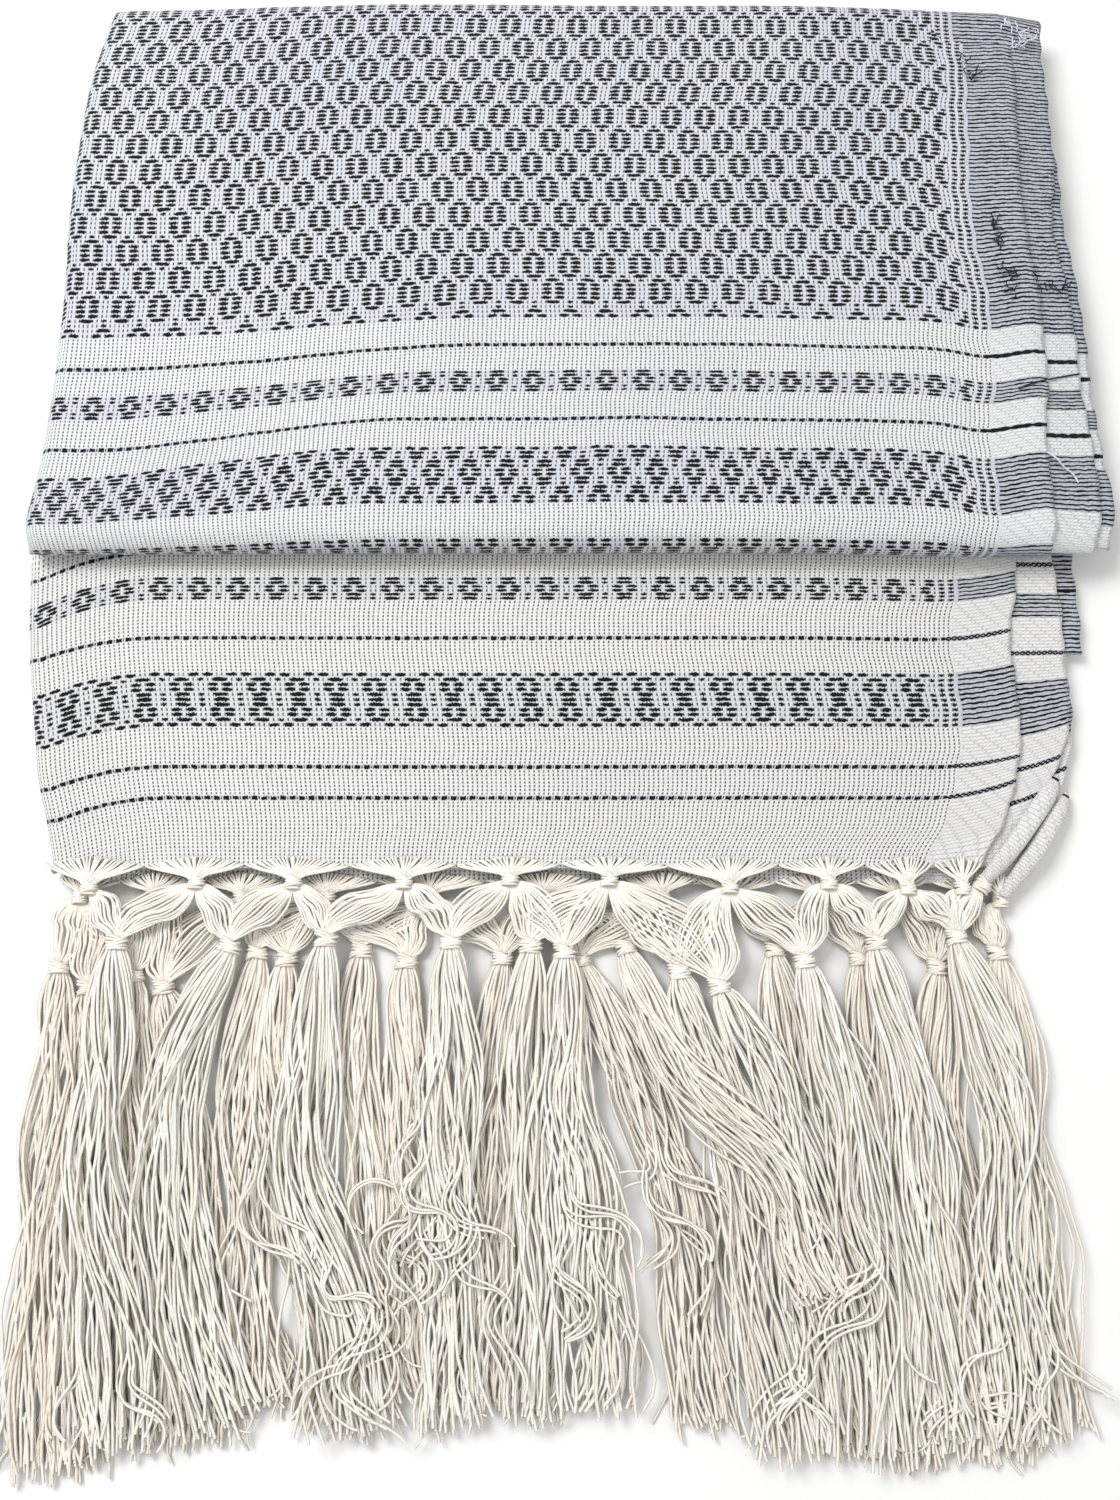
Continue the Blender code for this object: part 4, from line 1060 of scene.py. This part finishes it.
def wrapPath(centre, flow, widthX, widthZ, turnsRound, pitch, slant):
    # thread wound round a bundle
    sideways = Vector((-flow.y, flow.x, 0)).normalized()
    path = []
    count = int(turnsRound * 8)
    for n in range(count + 1):
        a = 2 * math.pi * n / 8
        t = n / count
        shift = flow * (pitch * (n / 8) - pitch * turnsRound / 2)
        full = 1 - 0.16 * (2 * t - 1) ** 2
        path.append(centre + shift + sideways * (widthX * full * math.cos(a))
                    + flow * slant * math.cos(a) + Vector((0, 0, widthZ * full * math.sin(a))))
    return (fringe["share"]["knot"], path)


def knotTurns(centre, flow, widthX, widthZ, chance):
    # an overhand knot of several threads: three slanting turns that cross one another
    paths = []
    for slant, shift in ((1.3, -1.0), (-1.2, 0.5), (0.2, 1.6), (0.7, -0.2), (-0.5, 0.9)):
        place = centre + flow * (shift + chance.uniform(-0.25, 0.25))
        grow = chance.uniform(0, 0.35) + (0.25 if slant < 0 else 0)
        paths.append(wrapPath(place, flow, widthX + grow, widthZ + grow, 1.8, 1.0, slant))
    return paths


def halfBundle(head, knot, level, chance):
    # half of a first knot's threads, flat and wavy, on their way to the second knot
    start = Vector((knot[0], knot[1] - 1.2, fringe["knotZ"][level] + 0.6))
    finish = Vector((head.x, head.y + 2.8, head.z + 0.5))
    out = 1 if finish.x > start.x else -1
    length = (finish - start).length
    waves = (chance.uniform(0, 6.3), chance.uniform(1.2, 2.2), chance.uniform(0.5, 1.0))
    paths = []
    count = fringe["halfBundleThreads"]
    for k in range(count):
        u = k / (count - 1)
        first = start + Vector((out * (2.5 - 2.4 * u), 0.9 - 0.6 * u, 0))
        last = finish + Vector((out * (1.4 - 3.0 * u), 0, 0))
        leave = Vector((out * (1 - 0.9 * u), -0.15 - 0.85 * u, 0)).normalized()
        enter = Vector((out * (0.2 - 1.0 * u), 1 - 0.55 * u, 0)).normalized()
        reach = length * chance.uniform(0.40, 0.48)
        p1, p2 = first + leave * reach, last + enter * reach * 0.95
        rise = 1.5 * (1 - (2 * u - 1) ** 2) + chance.uniform(-0.35, 0.35)
        path = []
        for n in range(10):
            t = n / 9
            place = (first * (1 - t) ** 3 + p1 * 3 * t * (1 - t) ** 2 + p2 * 3 * t * t * (1 - t)
                     + last * t ** 3)
            swell = math.sin(math.pi * t)
            wavy = waves[2] * math.sin(waves[0] + 6.28 * waves[1] * t + 1.6 * u) * swell
            place += Vector((0.6 * wavy, wavy, rise * swell))
            path.append(place)
        paths.append((fringe["share"]["net"], path))
    return paths


def knotsFor(level, knots):
    # each second knot takes half of the first knot on either side
    taken = {}
    for row in tassels:
        if (row[1] == hangOver) == (level == hangOver):
            left = [k for k in knots if k[0] < row[2]][-1:]
            right = [k for k in knots if k[0] >= row[2]][:1]
            taken[row[0]] = left + right
    return taken


chance = random.Random(17)
sidesOf = {**knotsFor(hangOver, frontKnots), **knotsFor(hangUnder, backKnots)}
sidesOf["f11"].append(rollKnot)
curlPatches = {
    # tassel whose threads sprang loose: middle and reach of the patch, strands, height
    "b01": ((-176, -262), (9, 12), 6, 4.5),
    "f01": ((-150, -250), (12, 14), 8, 8.0),
    "b05": ((-110, -205), (8, 18), 7, 5.5),
    "f02": ((-108, -190), (8, 22), 6, 9.0),
    "f03": ((-72, -230), (12, 24), 10, 9.0),
    "b07": ((-62, -222), (12, 26), 14, 6.0),
    "f04": ((-42, -200), (14, 30), 20, 10.0),
    "b08": ((-50, -200), (12, 34), 14, 7.0),
    "f05": ((-14, -222), (12, 26), 8, 9.5),
    "f06": ((12, -215), (12, 22), 8, 9.5),
    "b10": ((24, -196), (9, 20), 12, 6.5),
    "f09": ((96, -228), (14, 22), 10, 9.5),
    "f07": ((64, -250), (14, 14), 10, 8.0),
    "b14": ((128, -250), (10, 16), 8, 5.5),
    "f11": ((146, -240), (12, 18), 10, 9.0),
}
tasselPieces = []
for number, row in enumerate(tassels):
    name, lies = row[0], row[1]
    level = hangOver if lies == hangOver else hangUnder
    yarn = frontYarn if level == hangOver else shadedBackYarn
    slot = "fringe_thread" if level == hangOver else "back_fringe_thread"
    head = Vector((row[2], row[3], threadHeights[lies][0]))
    paths = tasselThreads(row, chance) + tipHairs(row, chance)
    flow = paths[0][1][1] - paths[0][1][0]
    flow.z = 0
    flow = (flow.normalized() + Vector((0, -1, 0))).normalized()
    for knot in sidesOf[name]:
        paths += halfBundle(head, knot, level, chance)
    paths += knotTurns(head + Vector((0, 0.8, 0.4)), flow, 3.2, 2.6, chance)
    if name in curlPatches:
        middle, size, count, z = curlPatches[name]
        paths += curls(middle, size, count, chance, z)
    tasselPieces.append(spin("tassel" + name.upper(), paths, yarn, ["tassel_" + name],
                             seed=number + 3))


def warpFan(knots, hem, z, top, chance, x0, x1, lift):
    # warp ends out of the hem, drawn up a little over its edge and down into the first knots
    paths = []
    for n, (x, y) in enumerate(knots):
        low = x0 if n == 0 else (knots[n - 1][0] + x) / 2
        high = x1 if n == len(knots) - 1 else (x + knots[n + 1][0]) / 2
        count = max(8, int((high - low) / 1.35))
        for k in range(count):
            start = low + (high - low) * (k + 0.5) / count + chance.uniform(-0.5, 0.5)
            share = (start - x) / max(1.0, (high - low) / 2)
            near = max(0, 1 - abs(share))
            edge = top(start, hem)
            path = [Vector((start, hem + 1.5, edge - 1.0)),
                    Vector((start, hem + lift * near ** 0.7 + 0.4,
                            edge + 0.6 + 0.8 * near + chance.uniform(-0.2, 0.2)))]
            for f in (0.25, 0.5, 0.75):
                arch = lift * near * (1 - f)
                path.append(Vector((start + (x - start) * f,
                                    hem + arch + (y + 1.6 - hem) * f ** (1 + 0.5 * near),
                                    edge + 1.1 + (z + 1.2 - edge) * f + 0.5 * near)))
            path += [Vector((x + 2.0 * share, y + 1.3, z + 1.5)),
                     Vector((x + 1.7 * share, y - 1.6, z + 0.9 - 0.8 * abs(share)))]
            paths.append((fringe["share"]["fan"], path))
        paths += knotTurns(Vector((x, y + 0.3, z + 0.6)), Vector((0, -1, 0)), 2.5, 2.2, chance)
    return paths


downLeft = Vector((-0.55, -0.83, 0))
netPieces = [
    spin("frontKnots", warpFan(frontKnots, hemY, fringe["knotZ"][hangOver], lowerTop, chance,
                               -186, 142, 3.6)
         + knotTurns(Vector((*rollKnot, 9.0)), downLeft, 2.5, 2.2, chance),
         frontYarn, ["front_knots"], waver=0.3, seed=61),
    spin("backKnots", warpFan(backKnots, backHemY, fringe["knotZ"][hangUnder],
                              lambda x, y: 4.4, chance, -183, 152, 3.8), shadedBackYarn, ["back_knots"],
         waver=0.3, seed=62),
]

# ---- loose ends of thread at the selvedges

def onTop(x, y, level=0):
    return Vector((x, y, upperTop(x, y) - 1.8 * level + 0.5))


def fuzz(x0, y0, x1, y1, level, count, chance):
    # short ends standing out of the cloth along a line
    paths = []
    for _ in range(count):
        t = chance.random()
        at = onTop(x0 + (x1 - x0) * t, y0 + (y1 - y0) * t, level)
        turn = chance.uniform(0, 6.3)
        path = [at - Vector((0, 0, 0.6))]
        for _ in range(chance.randint(3, 5)):
            turn += chance.uniform(-0.9, 0.9)
            at = at + Vector((1.1 * math.cos(turn), 1.1 * math.sin(turn), 0.12))
            path.append(at)
        paths.append((fringe["share"]["fuzz"], path))
    return paths


whiteEnd = [onTop(173.4, 69.4) - Vector((0, 0, 0.4)), onTop(176.8, 66.8) + Vector((0, 0, 0.4)),
            onTop(180, 64.4, 0.6), onTop(183.6, 62.6, 1), onTop(185.5, 59.4, 1)]
navyEnd = [onTop(164.6, 94.6), onTop(169, 96.6), onTop(174.2, 98.4), onTop(178, 100.4, 0.8),
           onTop(184, 102.6, 1), onTop(190.5, 104.6, 1)]
whiteFuzz = fuzz(174, 262, 184, 255, 0, 16, chance) + fuzz(176, 250, 190, 262, 1, 8, chance)
navyFuzz = (fuzz(160, 166, 167, 134, 0, 22, chance) + fuzz(168, 141, 188, 139, 0.4, 12, chance)
            + fuzz(153, 250, 158, 232, 0, 8, chance))
loosePieces = [
    spin("looseWhiteEnds", [(0.7, whiteEnd)] + whiteFuzz, paleYarn, ["upper_behind"],
         waver=0.1, seed=71),
    spin("looseNavyEnds", [(0.62, navyEnd)] + navyFuzz, navyYarn, ["upper_front"],
         waver=0.1, seed=72),
]

# ---- which pieces lie on each sheet of cloth

onSheet = {
    "upperFront": loosePieces[1:],
    "upperBehind": loosePieces[:1],
    "lowerFront": [netPieces[0]] + [p for p in tasselPieces if p.name.startswith("tasselF")],
    "hiddenHem": [netPieces[1]] + [p for p in tasselPieces if p.name.startswith("tasselB")],
}
for piece in [upperFront, lowerFront] + stripPieces + hiddenPieces:
    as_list(onSheet.get(piece.name, []))

# ---- floor, light and camera

floorMaterial = bpy.data.materials.new("paintedBoard")   # smooth matt board, even and pale
floorMaterial.use_nodes = True
floorTree = floorMaterial.node_tree
speckle = addNode(floorTree, "TexNoise", {"Scale": 240.0, "Detail": 3.0})
speckle = addNode(floorTree, "MapRange", {0: speckle, 3: 0.55, 4: 0.65})
floorShader = floorTree.nodes["Principled BSDF"]
floorShader.inputs["Base Color"].default_value = linearColor(colors["floor"])
floorTree.links.new(speckle.outputs[0], floorShader.inputs["Roughness"])
floorMesh = bpy.data.meshes.new("floor")
floorMesh.from_pydata([(-3, -3, 0), (3, -3, 0), (3, 3, 0), (-3, 3, 0)], [], [(0, 1, 2, 3)])
floorMesh.materials.append(floorMaterial)
floor = bpy.data.objects.new("floor", floorMesh)
bpy.context.scene.collection.objects.link(floor)

lights = {
    # name: place, size, watts
    "window": ((-0.75, 0.55, 1.25), 0.7, 17.8),
    "fill": ((0.9, -0.7, 1.1), 1.4, 4.3),
}
for name, (place, size, watts) in lights.items():
    light = bpy.data.lights.new(name, "AREA")
    light.size = size
    light.energy = watts
    lamp = bpy.data.objects.new(name, light)
    lamp.location = place
    lamp.rotation_euler = (-Vector(place)).to_track_quat("-Z", "Y").to_euler()
    bpy.context.scene.collection.objects.link(lamp)
world = bpy.data.worlds.new("softRoom")
world.use_nodes = True
world.node_tree.nodes["Background"].inputs[0].default_value = (1, 1, 1, 1)
world.node_tree.nodes["Background"].inputs[1].default_value = 0.53
bpy.context.scene.world = world
bpy.context.scene.view_settings.view_transform = "Standard"

camera = bpy.data.objects.new("camera", bpy.data.cameras.new("camera"))
camera.location = (-0.005, -0.1674, 0.4926)
camera.rotation_euler = (math.radians(15), 0, 0)
camera.data.lens = 33.6
camera.data.sensor_width = 36
camera.data.clip_start = 0.01
bpy.context.scene.collection.objects.link(camera)
bpy.context.scene.camera = camera

print("shawl dressed")
